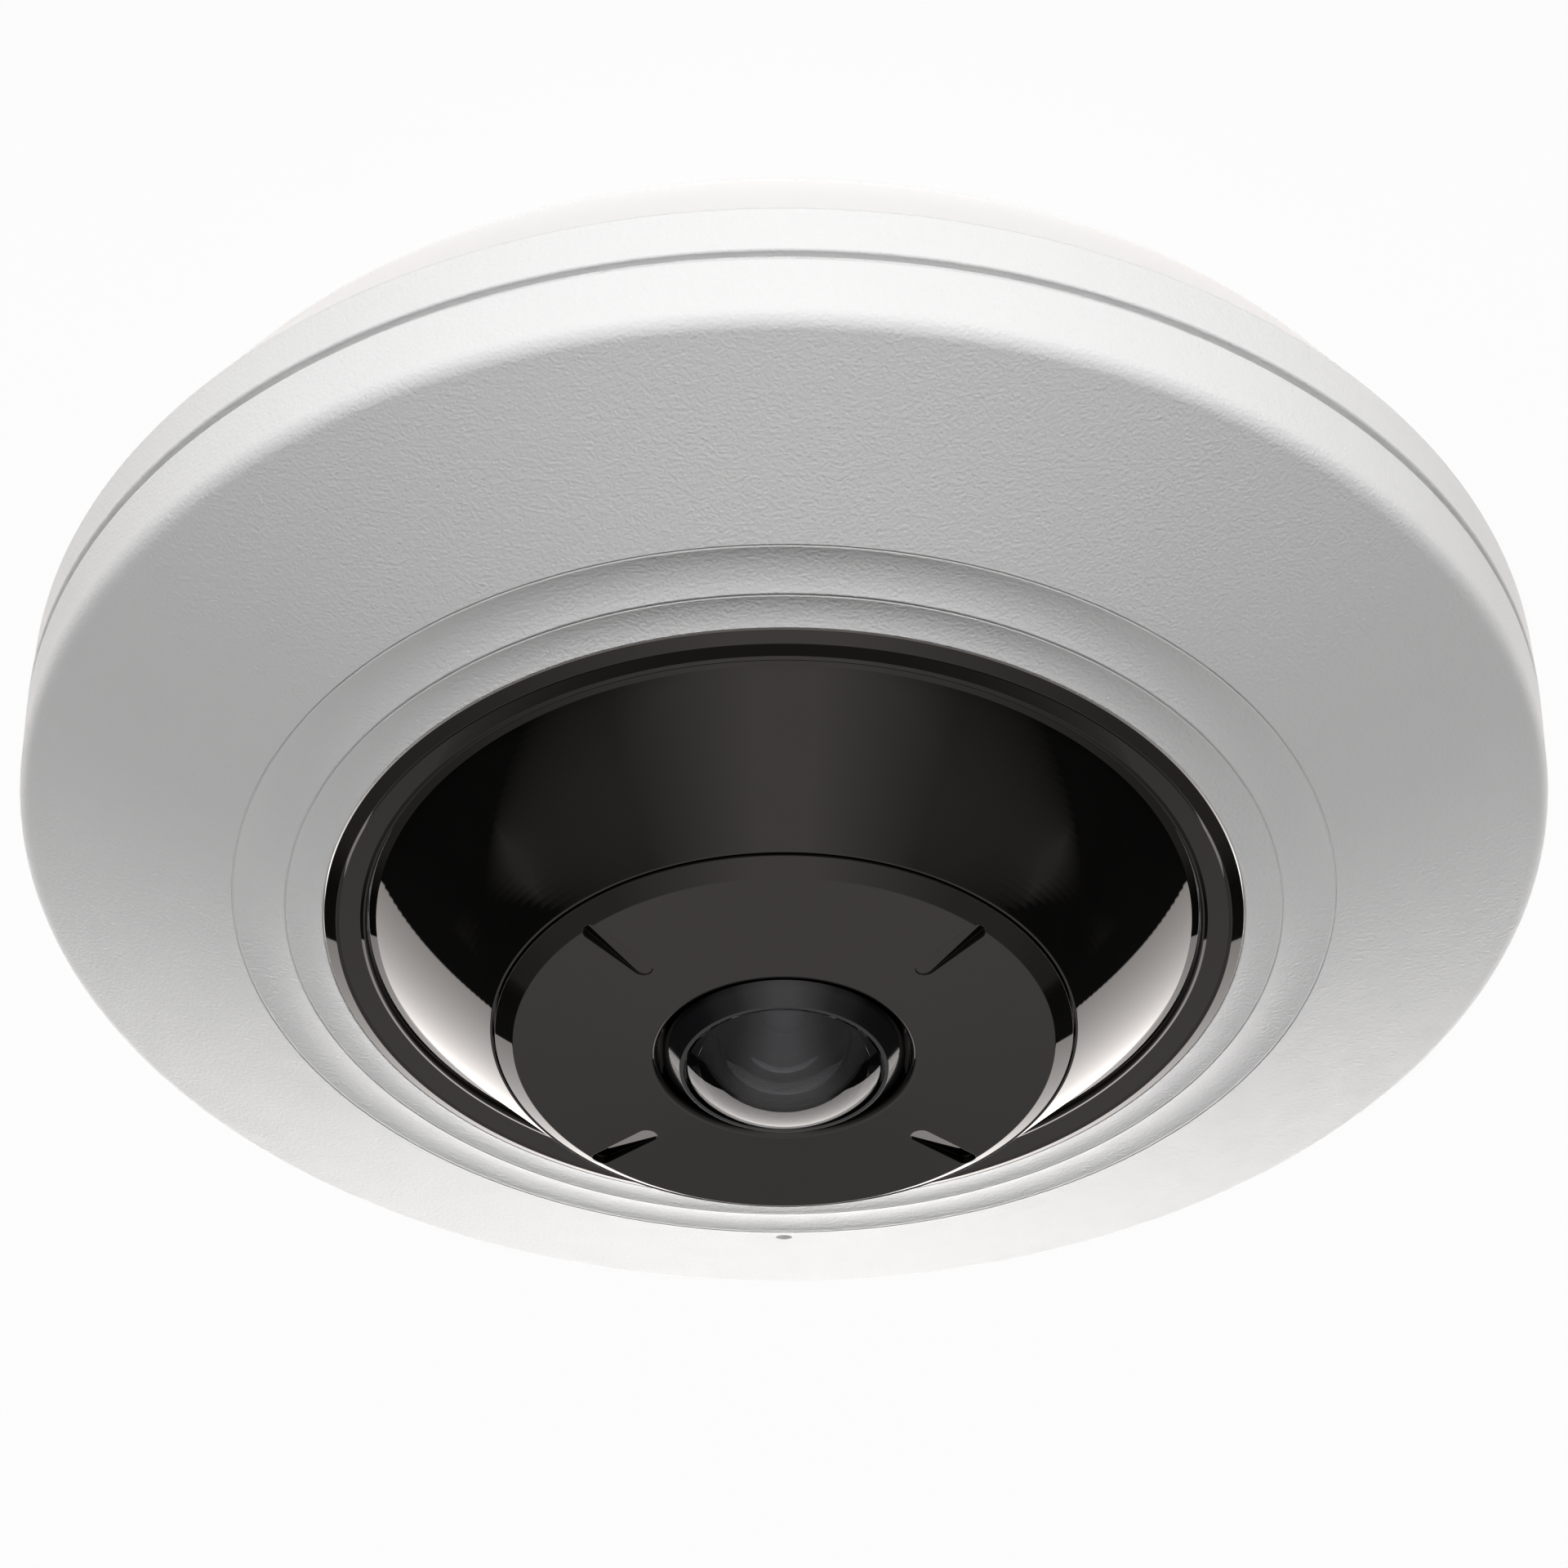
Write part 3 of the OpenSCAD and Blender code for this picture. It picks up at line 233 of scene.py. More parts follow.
def rounded(rows, steps=6):
    """Turns each corner (r, z, rounding) into an arc that is tangent to both of its sides.

    With unit directions u and v to the neighbours and half the angle between them h, the arc's centre is
    the corner plus rounding / sin h along u + v, and its points turn evenly from one tangent point to the
    other.
    """
    rows = np.asarray(rows, float)
    points, radii = rows[:, :2], rows[:, 2]
    u = np.roll(points, 1, 0) - points
    v = np.roll(points, -1, 0) - points
    u /= np.linalg.norm(u, axis=1, keepdims=True)
    v /= np.linalg.norm(v, axis=1, keepdims=True)
    middle = u + v
    middle /= np.maximum(np.linalg.norm(middle, axis=1, keepdims=True), TINY)
    half = np.arccos(np.clip((u * v).sum(1), -1, 1)) / 2
    centres = points + middle * (radii / np.maximum(np.sin(half), TINY))[:, None]
    share = np.linspace(0, 1, steps)[:, None]
    out = []
    for point, centre, radius, a, b, h in zip(points, centres, radii, u, v, half):
        turn = math.pi - 2 * h
        if radius <= 0 or turn < STRAIGHT:
            out.append(point[None])
            continue
        reach = radius / math.tan(h)
        start, end = point + a * reach - centre, point + b * reach - centre
        way = start * np.sin((1 - share) * turn) + end * np.sin(share * turn)
        out.append(centre + way / math.sin(turn))
    return np.concatenate(out)


def open_rounded(rows, steps=6):
    """The same for an open outline, whose two ends stay sharp."""
    rows = np.array(rows, float)
    rows[[0, -1], 2] = 0
    return rounded(rows, steps)


def arc(centre, radius, start, end, steps):
    """Points of an arc about (r, z), from one angle to another."""
    turn = np.linspace(start, end, steps)
    return np.stack([centre[0] + radius * np.cos(turn), centre[1] + radius * np.sin(turn)], 1)


def cove(outer, run, rise, steps=20):
    """A cove from its level outer end up to its inner end.

    It is an arc of radius (run^2 + rise^2) / (2 rise) whose centre stands straight over the outer end.
    """
    bow = (run * run + rise * rise) / (2 * rise)
    turn = np.linspace(0, 2 * math.atan2(rise, run), steps)
    return np.stack([outer[0] - bow * np.sin(turn), outer[1] + bow * (1 - np.cos(turn))], 1)


def plain(points):
    """Rows of an outline whose corners are left sharp."""
    points = np.asarray(points, float)
    return np.column_stack([points, np.zeros(len(points))])


def moved_in(points, distance):
    """An open outline moved to its left by a distance, with mitred corners.

    Each point goes along the sum of the two sides' normals, divided by one plus their product.
    """
    side = np.diff(points, axis=0)
    side /= np.linalg.norm(side, axis=1, keepdims=True)
    normal = np.stack([-side[:, 1], side[:, 0]], 1)
    before, after = np.vstack([normal[:1], normal]), np.vstack([normal, normal[-1:]])
    return points + distance * (before + after) / (1 + (before * after).sum(1, keepdims=True))


def lined(outline, radii, width, depth):
    """Cuts a fine V into an outline at each crease that lies nearest one of the radii."""
    for radius in radii:
        i = int(np.argmin(np.abs(outline[:, 0] - radius)))
        crease = outline[i]
        sides = [outline[i - 1] - crease, outline[i + 1] - crease]
        shoulders = [crease + s / np.linalg.norm(s) * width / 2 for s in sides]
        outline = np.vstack([outline[:i], shoulders[0], crease - (0, depth), shoulders[1], outline[i + 1:]])
    return outline


def supported(outline):
    """Adds a point near both ends of each long side, so that smooth shading turns only there."""
    step = np.roll(outline, -1, 0) - outline
    size = np.linalg.norm(step, axis=1)
    long = size > LONG_SIDE
    step *= (np.where(long, SUPPORT_REACH, 0) / np.maximum(size, TINY))[:, None]
    rows = np.stack([outline, outline + step, np.roll(outline, -1, 0) - step], 1)
    keep = np.stack([np.ones(len(long), bool), long, long], 1)
    return rows[keep]


def bowed(start, end, tilts, steps=24):
    """A slightly bowed line between two points.

    Its direction turns from the chord by a quadratic through the tilts at the start, halfway and at the
    end. The line is the sum of the tilted steps, plus a share of what misses the end.
    """
    way = np.subtract(end, start) / steps
    share = (np.arange(steps) + 0.5) / steps
    turn = -np.polyval(np.polyfit((0, 0.5, 1), tilts, 2), share)
    cosine, sine = np.cos(turn), np.sin(turn)
    step = np.stack([way[0] * cosine - way[1] * sine, way[0] * sine + way[1] * cosine], 1)
    points = np.vstack([[start], start + np.cumsum(step, 0)])
    return points + np.outer(np.linspace(0, 1, steps + 1), end - points[-1])


def sphere_radius(base, bulge):
    """Radius of the sphere whose cap has that base radius and bulge."""
    return (base * base + bulge * bulge) / (2 * bulge)


def ringed(start, end, pitch, depth):
    """Zigzag points between two points, for rings cut with a pitch to a depth on the left of the way."""
    start, end = np.asarray(start, float), np.asarray(end, float)
    way = end - start
    size = np.linalg.norm(way)
    way /= size
    count = max(3, 2 * round(size / pitch) + 1)
    along = np.linspace(0, size, count)
    inward = np.arange(count) % 2 * depth
    return start + np.outer(along, way) + np.outer(inward, (-way[1], way[0]))


# Meshes. Rods for cutting have ROD_SEGMENTS sides, and points nearer than MERGE_REACH are one point.

ROD_SEGMENTS = 96
MERGE_REACH = 0.001 * MM


def linked(name, mesh):
    """A new object of that mesh in the scene."""
    obj = bpy.data.objects.new(name, mesh)
    bpy.context.scene.collection.objects.link(obj)
    return obj


def mesh_object(name, points, faces, sharp=30.0):
    """A linked object from points and faces, shaded smooth except at edges over that angle in degrees."""
    mesh = bpy.data.meshes.new(name)
    mesh.from_pydata(points, [], faces)
    obj = linked(name, mesh)
    shade(obj, sharp)
    return obj


def shade(obj, sharp=30.0):
    """Smooth shading except at edges over that angle in degrees."""
    obj.data.shade_smooth()
    obj.data.set_sharp_from_angle(angle=math.radians(sharp))


def lathe(name, outline, sharp=30.0, segments=None):
    """The surface swept by an outline turned about Z.

    Its point (r, z) at the turn a goes to (r cos a, r sin a, z). An outline with two neighbouring points on
    the axis gets a pole at each, and any other closes on itself.
    """
    outline = np.asarray(outline, float)
    after = np.roll(outline, -1, 0)
    if (after[:, 0] * outline[:, 1] - outline[:, 0] * after[:, 1]).sum() < 0:
        outline = outline[::-1]
    tips = outline[:, 0] < ON_AXIS
    start = np.flatnonzero(tips & np.roll(tips, 1))
    closed = not len(start)
    if closed:
        outline = supported(outline)
    else:
        outline = np.roll(outline, -int(start[0]), 0)
        poles = outline[[0, -1], 1]
        outline = supported(outline)
        outline = outline[outline[:, 0] > ON_AXIS]
    n, m = len(outline), segments or settings("studio").segments
    turn = np.arange(m) * 2 * math.pi / m
    r, z = outline[:, 0], outline[:, 1]
    points = np.stack([np.outer(r, np.cos(turn)), np.outer(r, np.sin(turn)), np.outer(z, np.ones(m))], -1)
    points = points.reshape(-1, 3)
    i, j = np.arange(n if closed else n - 1)[:, None], np.arange(m)
    here, there, beside = i * m, (i + 1) % n * m, (j + 1) % m
    faces = np.stack([here + j, there + j, there + beside, here + beside], -1).reshape(-1, 4).tolist()
    if not closed:
        points = np.vstack([points, [0, 0, poles[0]], [0, 0, poles[1]]])
        last = (n - 1) * m
        faces += np.stack([np.full(m, n * m), j, beside], -1).tolist()
        faces += np.stack([last + j, np.full(m, n * m + 1), last + beside], -1).tolist()
    return mesh_object(name, points, faces, sharp)


def rod(name, radius, low, high, matrix=None):
    """A closed cylinder along Z between two heights, for cutting, placed by a matrix."""
    obj = lathe(name, [(0, low), (radius, low), (radius, high), (0, high)], segments=ROD_SEGMENTS)
    obj.data.transform(matrix or Matrix.Identity(4))
    return obj


def combine(obj, other, operation):
    """Applies a Boolean of two closed meshes to the first and removes the second."""
    cut = obj.modifiers.new("cut", "BOOLEAN")
    cut.operation = operation
    cut.solver = "MANIFOLD"
    cut.object = other
    mesh = bpy.data.meshes.new_from_object(obj.evaluated_get(bpy.context.evaluated_depsgraph_get()))
    old = obj.data
    obj.modifiers.clear()
    obj.data = mesh
    bpy.data.meshes.remove(old)
    mesh.name = obj.name
    bpy.data.objects.remove(other)
    if not len(mesh.polygons):
        raise RuntimeError(f"{obj.name}: nothing is left of it after a cut")


def moulding_copy(node):
    """A copy of a packed node's mesh with its loose triangles joined."""
    mesh = frame["nodes"][node].data.copy()
    work = bmesh.new()
    work.from_mesh(mesh)
    bmesh.ops.remove_doubles(work, verts=work.verts, dist=MERGE_REACH)
    work.to_mesh(mesh)
    work.free()
    return linked(node + "_moulding", mesh)


SKIN = 0.5 * MM
SKIN_JOIN = 0.12 * MM


def skinned(name, node, coarse, fine, closing):
    """A fine turned skin over a packed moulding, joined to what the moulding has inside.

    The skin lies between the fine outline and the coarse one moved in by SKIN. The moulding is first cut
    back to the coarse outline moved in by SKIN_JOIN, which the closing points complete to a ring.
    """
    skin = lathe(name, np.vstack([fine, moved_in(coarse, SKIN)[::-1]]))
    core = lathe("core", np.vstack([moved_in(coarse, SKIN_JOIN), closing]))
    moulding = moulding_copy(node)
    combine(moulding, core, "INTERSECT")
    combine(skin, moulding, "UNION")
    return skin


def finish(obj, slot, *nodes, material=None):
    """Gives a piece of the camera body the finish of its slot, or the material named instead, hangs it under
    the camera body and hides the packed nodes that it stands for.
    """
    obj.data.materials.clear()
    obj.data.materials.append(bpy.data.materials[material or slot])
    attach(obj, "camera")
    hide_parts(*nodes)


# Finishes

# Most of a noise's values lie in this span.
NOISE_SPAN = 0.3, 0.7


class Finish:
    """A material on a Principled shader, with short calls for its nodes."""

    def __init__(self, name, **values):
        self.material = bpy.data.materials.get(name) or bpy.data.materials.new(name)
        self.material.use_nodes = True
        tree = self.material.node_tree
        tree.nodes.clear()
        self.nodes, self.links = tree.nodes, tree.links
        self.output = self.nodes.new("ShaderNodeOutputMaterial")
        self.shader = self.nodes.new("ShaderNodeBsdfPrincipled")
        self.links.new(self.shader.outputs[0], self.output.inputs[0])
        self.place = self.nodes.new("ShaderNodeTexCoord").outputs["Object"]
        for key, value in values.items():
            socket = self.shader.inputs[key.replace("_", " ").title().replace("Ior", "IOR")]
            socket.default_value = (*value, 1.0) if socket.type == "RGBA" else value

    def node(self, kind, inputs, **fields):
        """A node with its fields set, and its inputs set or, where the value is a socket, linked."""
        node = self.nodes.new("ShaderNode" + kind)
        for key, value in fields.items():
            setattr(node, key, value)
        for key, value in inputs.items():
            if isinstance(value, bpy.types.NodeSocket):
                self.links.new(value, node.inputs[key])
            else:
                node.inputs[key].default_value = value
        return node

    def noise(self, size, detail=2.0, place=None):
        """Smooth noise of that cell size in metres."""
        inputs = {"Vector": place or self.place, "Scale": 1 / size, "Detail": detail}
        return self.node("TexNoise", inputs).outputs[0]

    def cells(self, size):
        """Soft distance to the nearest of random points, one to each cell of that size in metres."""
        inputs = {"Vector": self.place, "Scale": 1 / size}
        return self.node("TexVoronoi", inputs, feature="SMOOTH_F1").outputs["Distance"]

    def span(self, value, low, high, to_low=0.0, to_high=1.0):
        """Maps a span of values to another, clamped."""
        inputs = {"Value": value, "From Min": low, "From Max": high, "To Min": to_low, "To Max": to_high}
        return self.node("MapRange", inputs).outputs[0]

    def math(self, operation, a, b=0.0):
        """A sum, product or other operation on two values."""
        return self.node("Math", {0: a, 1: b}, operation=operation).outputs[0]

    def axes(self):
        """The three Object coordinates."""
        return self.node("SeparateXYZ", {0: self.place}).outputs

    def tint(self, factor, low, high):
        """Gives the base colour a mix of two colours."""
        mix = self.node("Mix", {0: factor, 6: (*low, 1.0), 7: (*high, 1.0)}, data_type="RGBA")
        self.links.new(mix.outputs[2], self.shader.inputs["Base Color"])

    def rough(self, factor, low, high):
        """Gives the roughness a span of values, which follows the noise given."""
        self.links.new(self.span(factor, *NOISE_SPAN, low, high), self.shader.inputs["Roughness"])

    def bump(self, height, distance):
        """Gives the normal a bump of that depth in metres."""
        node = self.node("Bump", {"Height": height, "Distance": distance})
        self.links.new(node.outputs[0], self.shader.inputs["Normal"])


def shaded(tone, factor):
    """A colour made lighter or darker by a factor."""
    return tuple(c * factor for c in tone)


def clouded(name, rough, tint=None, bump=None, **values):
    """A finish whose colour, roughness and bump each follow noise of their own.

    Each is given by the noise's cell size in millimetres and, after it, the two colours, the two
    roughnesses or the bump's depth in millimetres.
    """
    s = Finish(name, **values)
    if tint:
        s.tint(s.noise(tint[0] * MM), *tint[1:])
    s.rough(s.noise(rough[0] * MM), *rough[1:])
    if bump:
        s.bump(s.noise(bump[0] * MM), bump[1] * MM)


CLOUDED = {
    # Moulded black plastic with a fine eroded surface
    "black_matte": dict(tint=(1.5, (0.010, 0.010, 0.011), (0.018, 0.018, 0.019)), rough=(0.8, 0.42, 0.6),
                        bump=(0.12, 0.008)),
    # Dead black lacquer that keeps stray light out of the lens
    "lens_black": dict(tint=(0.5, (0.002, 0.002, 0.0022), (0.004, 0.004, 0.0044)), rough=(0.3, 0.6, 0.8),
                       specular_ior_level=0.15),
    # Optical glass with a clear coating and a trace of dust in its polish
    "lens_glass": dict(rough=(0.8, 0.0, 0.004), transmission_weight=1.0, ior=1.52,
                       base_color=(0.985, 0.985, 1.0), specular_tint=(0.94, 0.98, 1.0)),
    # The inner side of the front glass, whose coating takes its reflections away
    "coated_glass": dict(rough=(0.8, 0.0, 0.004), transmission_weight=1.0, ior=1.02,
                         base_color=(0.985, 0.985, 1.0)),
    # Thin filter glass, pale blue-green, with a dichroic glint
    "filter_glass": dict(tint=(2.0, (0.55, 0.78, 0.80), (0.62, 0.82, 0.84)), rough=(1.0, 0.01, 0.04),
                         transmission_weight=0.85, specular_tint=(0.8, 0.95, 1.0)),
    # Dull black rubber with a soft bloom
    "rubber": dict(tint=(2.0, (0.014, 0.014, 0.014), (0.030, 0.030, 0.029)), rough=(0.7, 0.7, 0.85),
                   bump=(0.18, 0.01), sheen_weight=0.15, sheen_roughness=0.6),
    # Black moulding compound of a chip, finely speckled
    "chip": dict(tint=(0.15, (0.012, 0.012, 0.013), (0.035, 0.035, 0.037)), rough=(0.3, 0.45, 0.62),
                 bump=(0.1, 0.006)),
    # Ivory connector plastic with a light moulding texture
    "connector_plastic": dict(tint=(2.0, (0.60, 0.57, 0.46), (0.70, 0.67, 0.56)), rough=(0.8, 0.38, 0.5),
                              bump=(0.2, 0.006)),
    # Smoky epoxy of an infrared diode
    "diode": dict(tint=(0.7, (0.24, 0.22, 0.24), (0.42, 0.40, 0.38)), rough=(0.5, 0.10, 0.2), ior=1.54,
                  transmission_weight=0.35, coat_weight=0.6, coat_roughness=0.05),
    # Turned brass, slightly tarnished in places
    "brass": dict(tint=(1.5, (0.62, 0.42, 0.16), (0.78, 0.58, 0.26)), rough=(0.6, 0.22, 0.38),
                  bump=(0.2, 0.002), metallic=1.0),
    # Orange-red button plastic, slightly glossy
    "button_red": dict(tint=(1.2, (0.50, 0.060, 0.020), (0.60, 0.085, 0.030)), rough=(0.5, 0.25, 0.36),
                       bump=(0.15, 0.003)),
}

# The white plastic is clouded in patches of CLOUD, down to CLOUD_SHADE of its colour. Its grain is
# PIT_SHARE pits and one part noise, whose cells are FINE_SHARE of the grain's size, and fades out over
# SHOULDER_BLEND.
CLOUD = 9 * MM
CLOUD_SHADE = 0.985
PIT_SHARE = 0.6
FINE_SHARE = 0.8
SHOULDER_BLEND = 0.03 * MM


def white_finish(name, **values):
    """A white finish, barely clouded."""
    s = Finish(name, **values)
    white = settings("finishes").white
    s.tint(s.noise(CLOUD), shaded(white, CLOUD_SHADE), white)
    return s


def grain_height(s):
    """Height of the white mouldings' grain: soft pits with finer noise between them."""
    size = settings("finishes").grain
    return s.math("ADD", s.math("MULTIPLY", s.cells(size), PIT_SHARE), s.noise(FINE_SHARE * size))


def white_shell():
    """White plastic from an eroded mould: a fine leathery grain."""
    s = white_finish("white_shell", specular_ior_level=0.45)
    s.rough(s.noise(2.2 * MM), 0.42, 0.5)
    s.bump(grain_height(s), settings("finishes").grain_depth)


def smooth_white():
    """White plastic from a polished mould, faintly wavy."""
    s = white_finish("smooth_white")
    s.rough(s.noise(1.5 * MM), 0.26, 0.34)
    s.bump(s.noise(3 * MM), 0.004 * MM)


def housing_white():
    """White plastic that is polished on the skirt and grained above its shoulder."""
    s = white_finish("housing_white", specular_ior_level=0.5)
    shoulder = settings("housing").shoulder_height
    grained = s.span(s.axes()[2], shoulder - SHOULDER_BLEND, shoulder + SHOULDER_BLEND)
    wear = s.math("MULTIPLY", s.noise(2 * MM), 0.2)
    s.rough(s.math("ADD", wear, s.math("MULTIPLY", grained, 0.4)), 0.27, 0.47)
    s.bump(s.math("MULTIPLY", grain_height(s), grained), settings("finishes").grain_depth)


def black_gloss():
    """Polished black plastic with a barely warm glint."""
    look = settings("finishes")
    clouded("black_gloss", tint=(4.0, shaded(look.black, 0.8), shaded(look.black, 1.3)),
            rough=(1.2, 0.02, 0.04), bump=(6.0, 0.001), specular_tint=look.black_glint, ior=1.5)


def infrared_window():
    """Deep black plastic that lets only infrared light pass, polished to a mirror."""
    look = settings("finishes")
    clouded("infrared_window", tint=(5.0, shaded(look.black, 0.5), shaded(look.black, 0.9)),
            rough=(3.0, 0.004, 0.008), specular_tint=look.black_glint, ior=1.5)


def inner_glass():
    """Optical glass with the violet coating of the inner glasses."""
    clouded("inner_glass", rough=(0.9, 0.0, 0.01), transmission_weight=1.0, ior=1.16,
            base_color=(0.95, 0.94, 1.0), specular_tint=settings("finishes").coating)


def black_metal():
    """Black anodised aluminium with fine marks of turning: noise along radius and height alone."""
    s = Finish("black_metal", ior=1.55, specular_tint=(0.96, 0.97, 1.0))
    x, y, z = s.axes()
    radius = s.math("SQRT", s.math("ADD", s.math("MULTIPLY", x, x), s.math("MULTIPLY", y, y)))
    marks = s.noise(0.06 * MM, place=s.node("CombineXYZ", {0: radius, 1: z}).outputs[0])
    s.tint(marks, (0.004, 0.004, 0.005), (0.009, 0.009, 0.010))
    s.rough(marks, 0.05, 0.09)
    s.bump(marks, 0.0006 * MM)


def rolled(s, size, stretch):
    """Rolling marks: noise stretched along one axis, with a faint bump."""
    marks = s.noise(size, detail=3.0, place=s.node("Mapping", {0: s.place, 3: stretch}).outputs[0])
    s.bump(marks, 0.002 * MM)
    return marks


def steel():
    """Zinc-plated steel sheet: pale, faintly clouded, with rolling marks."""
    s = Finish("steel", metallic=1.0)
    s.tint(s.noise(5 * MM), (0.50, 0.52, 0.55), (0.66, 0.67, 0.68))
    s.rough(rolled(s, 1.6 * MM, (1.0, 14.0, 1.0)), 0.24, 0.42)


def metal_shell():
    """Bright tinned sheet of a socket's shell, with rolling marks."""
    s = Finish("metal_shell", metallic=1.0)
    s.tint(s.noise(3 * MM), (0.56, 0.56, 0.57), (0.70, 0.70, 0.70))
    s.rough(rolled(s, 1.2 * MM, (9.0, 1.0, 1.0)), 0.18, 0.32)


def circuit_board():
    """Green solder mask over copper tracks, with the glass weave under it."""
    s = Finish("circuit_board")
    tracks = s.node("TexBrick", {"Vector": s.place, "Scale": 260.0, "Mortar Size": 0.09}).outputs["Fac"]
    weave = s.node("TexChecker", {"Vector": s.place, "Scale": 1 / (0.6 * MM)}).outputs["Fac"]
    s.tint(s.math("ADD", s.math("MULTIPLY", tracks, 0.7), s.math("MULTIPLY", s.noise(6 * MM), 0.3)),
           (0.006, 0.055, 0.028), (0.030, 0.150, 0.065))
    s.rough(weave, 0.28, 0.36)
    s.bump(tracks, 0.03 * MM)


def sensor():
    """Cover glass of the image sensor over its dark, faintly violet pixels."""
    s = Finish("sensor", coat_weight=1.0, coat_roughness=0.02)
    pixels = s.node("TexChecker", {"Vector": s.place, "Scale": 1 / (0.08 * MM)}).outputs["Fac"]
    s.tint(pixels, (0.045, 0.035, 0.065), (0.060, 0.050, 0.085))
    s.rough(s.noise(1 * MM), 0.15, 0.25)


def copper():
    """Enamelled copper wire wound close, with a ridge for each turn and painted shade in the grooves between
    turns.
    """
    s = Finish("copper", metallic=0.9, coat_weight=0.4, coat_roughness=0.15)
    turns = s.node("TexWave", {"Vector": s.place, "Scale": 0.16 / MM}, bands_direction="Y").outputs["Fac"]
    # Painted shade: the colour darkens in the grooves between the turns and is lightest on the ridges.
    s.tint(turns, (0.30, 0.10, 0.035), (0.62, 0.27, 0.11))
    s.rough(turns, 0.42, 0.25)
    s.bump(turns, 0.05 * MM)


FINISHES = (
    white_shell, smooth_white, housing_white, black_gloss, infrared_window, inner_glass, black_metal, steel,
    metal_shell, circuit_board, sensor, copper,
)


class FISHEYE_OT_finishes(bpy.types.Operator):
    """Make every finish and give each packed piece the finish of its slot"""
    bl_idname = "fisheye.finishes"
    bl_label = "Finishes"

    def execute(self, context):
        for make in FINISHES:
            make()
        for name, values in CLOUDED.items():
            clouded(name, **values)
        for part in frame["record"]["subparts"]:
            mesh = frame["nodes"][part["node"]].data
            mesh.materials.clear()
            mesh.materials.append(bpy.data.materials[part["material_slot"]])
        return {"FINISHED"}


# White mouldings. LEG is how far a turned skin reaches in at its open ends, OVERCUT how far a cutting ring
# reaches past what it cuts.

LEG = 0.8 * MM
OVERCUT = 1 * MM


class FISHEYE_OT_rear_housing(bpy.types.Operator):
    """Turn the rear housing's smooth skirt and rim, join them to its inside and open the lock screw's hole"""
    bl_idname = "fisheye.rear_housing"
    bl_label = "Rear housing"

    def execute(self, context):
        size = settings("housing")
        side, rim = HIGH["rear_housing"].x, LOW["front_cover"].z
        rear, foot = side - size.rear_inset, LOW["rear_housing"].z
        rows = np.array([
            (rear - LEG, foot, 0), (rear, foot, size.rim_round),
            (side - size.shoulder_inset, size.shoulder_height, size.shoulder_round),
            (side, rim, size.rim_round), (side - LEG, rim, 0),
        ])
        roof = HIGH["rear_housing"].z + OVERCUT
        closing = [(side - LEG, roof), (0, roof), (0, foot - OVERCUT), (rear - LEG, foot - OVERCUT)]
        fine = open_rounded(rows, steps=9)
        shell = skinned("rear_housing_shell", "rear_housing", rows[:, :2], fine, closing)
        lock = (LOW["lock_screw"].z + HIGH["lock_screw"].z) / 2
        along_y = Matrix.Translation((0, 0, lock)) @ Matrix.Rotation(-math.pi / 2, 4, "X")
        combine(shell, rod("access", size.access_radius, rear - 2 * LEG, side, along_y), "DIFFERENCE")
        shade(shell)
        finish(shell, "smooth_white", "rear_housing", material="housing_white")
        return {"FINISHED"}


def cover_creases(size):
    """The front cover's crease, its inner crease and its opening, each as (radius, height)."""
    crease = HIGH["front_cover"].x - size.face_width
    inner_crease = crease - size.cove_width
    mouth = HIGH["front_cover"].z
    inner_height = mouth - size.inner_cove_rise
    opening = inner_crease - size.inner_cove_width
    return (crease, inner_height - size.cove_rise), (inner_crease, inner_height), (opening, mouth)


class FISHEYE_OT_front_cover(bpy.types.Operator):
    """Turn the front cover's face and coves, join them to its inside and drill the microphone hole"""
    bl_idname = "fisheye.front_cover"
    bl_label = "Front cover"

    def execute(self, context):
        size = settings("cover")
        side, seam = HIGH["front_cover"].x, LOW["front_cover"].z + size.seam_gap
        (crease, height), (inner_crease, inner_height), (opening, mouth) = cover_creases(size)
        corner = height - size.face_drop
        turn = math.pi / 2 - math.atan2(size.face_drop, size.face_width)
        centre = side - size.edge_round, corner - size.edge_round * math.tan(turn / 2)
        edge = arc(centre, size.edge_round, 0, turn, steps=16)
        coves = np.vstack([
            cove((crease, height), size.cove_width, size.cove_rise),
            cove((inner_crease, inner_height), size.inner_cove_width, size.inner_cove_rise)[1:-1],
        ])
        under = mouth - size.lip
        rows = np.vstack([
            [(side - LEG, seam, 0), (side, seam, size.mouth_round)], plain(edge), plain(coves),
            [(opening, mouth, size.mouth_round), (opening, under, 0), (opening + LEG, under, 0)],
        ])
        fine = lined(open_rounded(rows), (crease, inner_crease), size.line_width, size.line_depth)
        low = LOW["front_cover"].z - OVERCUT
        closing = [(opening + LEG, low), (side - LEG, low)]
        shell = skinned("front_cover_shell", "front_cover", rows[:, :2], fine, closing)
        middle = (LOW["microphone"] + HIGH["microphone"]) / 2
        drill = rod("drill", size.microphone_radius, HIGH["microphone"].z, mouth,
                    Matrix.Translation((middle.x, middle.y, 0)))
        combine(shell, drill, "DIFFERENCE")
        shade(shell)
        finish(shell, "white_shell", "front_cover")
        shell.visible_glossy = False
        return {"FINISHED"}


# Black dome

# The ring's corners: across from its outer edge in shares of its width, up in shares of its rise over the
# cover, and their rounding in shares of that rise.
RING_ROWS = np.array([
    (0.0, 0.04, 0.1), (0.28, 1.0, 0.12), (0.355, 0.8, 0.1), (0.84, 0.25, 0.08), (0.92, 0.5, 0.08),
    (0.955, 0.44, 0.1), (1.0, 0.15, 0.1),
])


